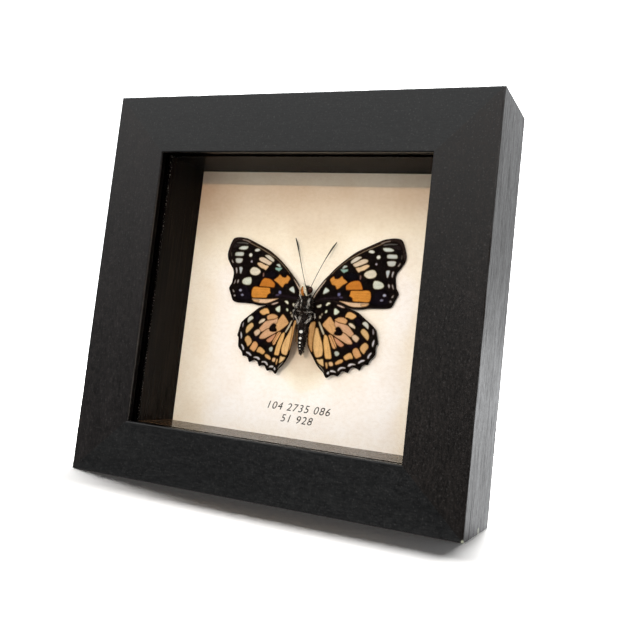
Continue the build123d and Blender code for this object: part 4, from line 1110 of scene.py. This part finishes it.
def studio_world():
    """A pale room, white to the camera.

    It lights the case with a cool light, strongest from the front a little above the horizon and dim
    from the sides and back. Its polish mirrors white behind, and in front dark below and pale above.
    """
    world = bpy.data.worlds.new("pale_room")
    bpy.context.scene.world = world
    world.use_nodes = True
    world.node_tree.nodes.clear()
    add = partial(add_node, world.node_tree)
    by_camera, through_glass, by_polish = (add("LightPath", out=name) for name in RAYS)
    where = add("TexCoord", out="Generated")
    y, z = (add("SeparateXYZ", [where], out=i) for i in (1, 2))
    above = add("MapRange", [z, 0.06, 0.36, 0.02, 1.32], **SMOOTH)
    mirrored = add("Mix", {0: add("MapRange", [y, -0.05, 0.35], **SMOOTH), 2: above, 3: 1.0})
    low = add("MapRange", [z, -0.1, 0.1, 1.0, 2.1], **SMOOTH)
    room = add("MapRange", [z, 0.45, 0.65, low, 0.55], **SMOOTH)
    lit = add("Mix", {0: add("MapRange", [y, -0.15, 0.05], **SMOOTH), 2: room, 3: 0.35})
    strength = add("Mix", {0: by_polish, 2: lit, 3: mirrored})
    seen = add("Math", [by_camera, through_glass], "MAXIMUM")
    strength = add("Mix", {0: seen, 2: strength, 3: 1.0})
    plain = add("Math", [seen, by_polish], "MAXIMUM")
    tint = add("Mix", {0: plain, 6: (0.83, 0.92, 0.99, 1.0), 7: WHITE}, **COLOURS)
    add("OutputWorld", [add("Background", [tint, strength])])


def soft_lamp(name, place, aim, size, watts, colour=WHITE[:3]):
    """A rectangular lamp at its place, turned to its aim."""
    data = bpy.data.lights.new(name, "AREA")
    data.shape = "RECTANGLE"
    data.size, data.size_y = size
    data.energy = watts
    data.color = colour
    lamp = new_piece(name, data)
    lamp.location = place
    lamp.rotation_euler = (Vector(aim) - Vector(place)).to_track_quat("-Z", "Y").to_euler()
    return lamp


def photo_camera():
    """The photograph's own camera: near the right front, a little below the middle, 46 mm lens."""
    data = bpy.data.cameras.new("camera")
    data.sensor_width = 36.0
    data.lens = 46.305
    data.shift_x, data.shift_y = -0.01722, -0.05171
    data.clip_start, data.clip_end = 0.01, 20.0
    camera = new_piece("camera", data)
    right = (0.914241, 0.389893, 0.110213)
    up = (-0.065661, -0.125847, 0.989874)
    back = (0.399815, -0.912220, -0.089453)
    place = (0.132948, -0.269678, 0.050222)
    for row in range(3):
        for column, axis in enumerate((right, up, back, place)):
            camera.matrix_world[row][column] = axis[row]
    bpy.context.scene.camera = camera


white_sweep()
studio_world()
# the key lamp stands in front; the two others hang behind and beside the case and make the floor's shadow
key_lamp = soft_lamp("key_lamp", (0.04, -1.58, 0.38), (0.0, 0.0, 0.07), (0.05, 0.05), 11.2, (1.0, 0.88, 0.79))
key_lamp.visible_glossy = False
soft_lamp("top_lamp", (0.02, 0.45, 1.1), (0.02, 0.45, 0.0), (0.13, 0.66), 33.0)
soft_lamp("left_lamp", (-0.41, 0.17, 1.1), (-0.41, 0.17, 0.0), (0.68, 0.10), 35.0)
photo_camera()
bpy.context.scene.view_settings.view_transform = "Standard"
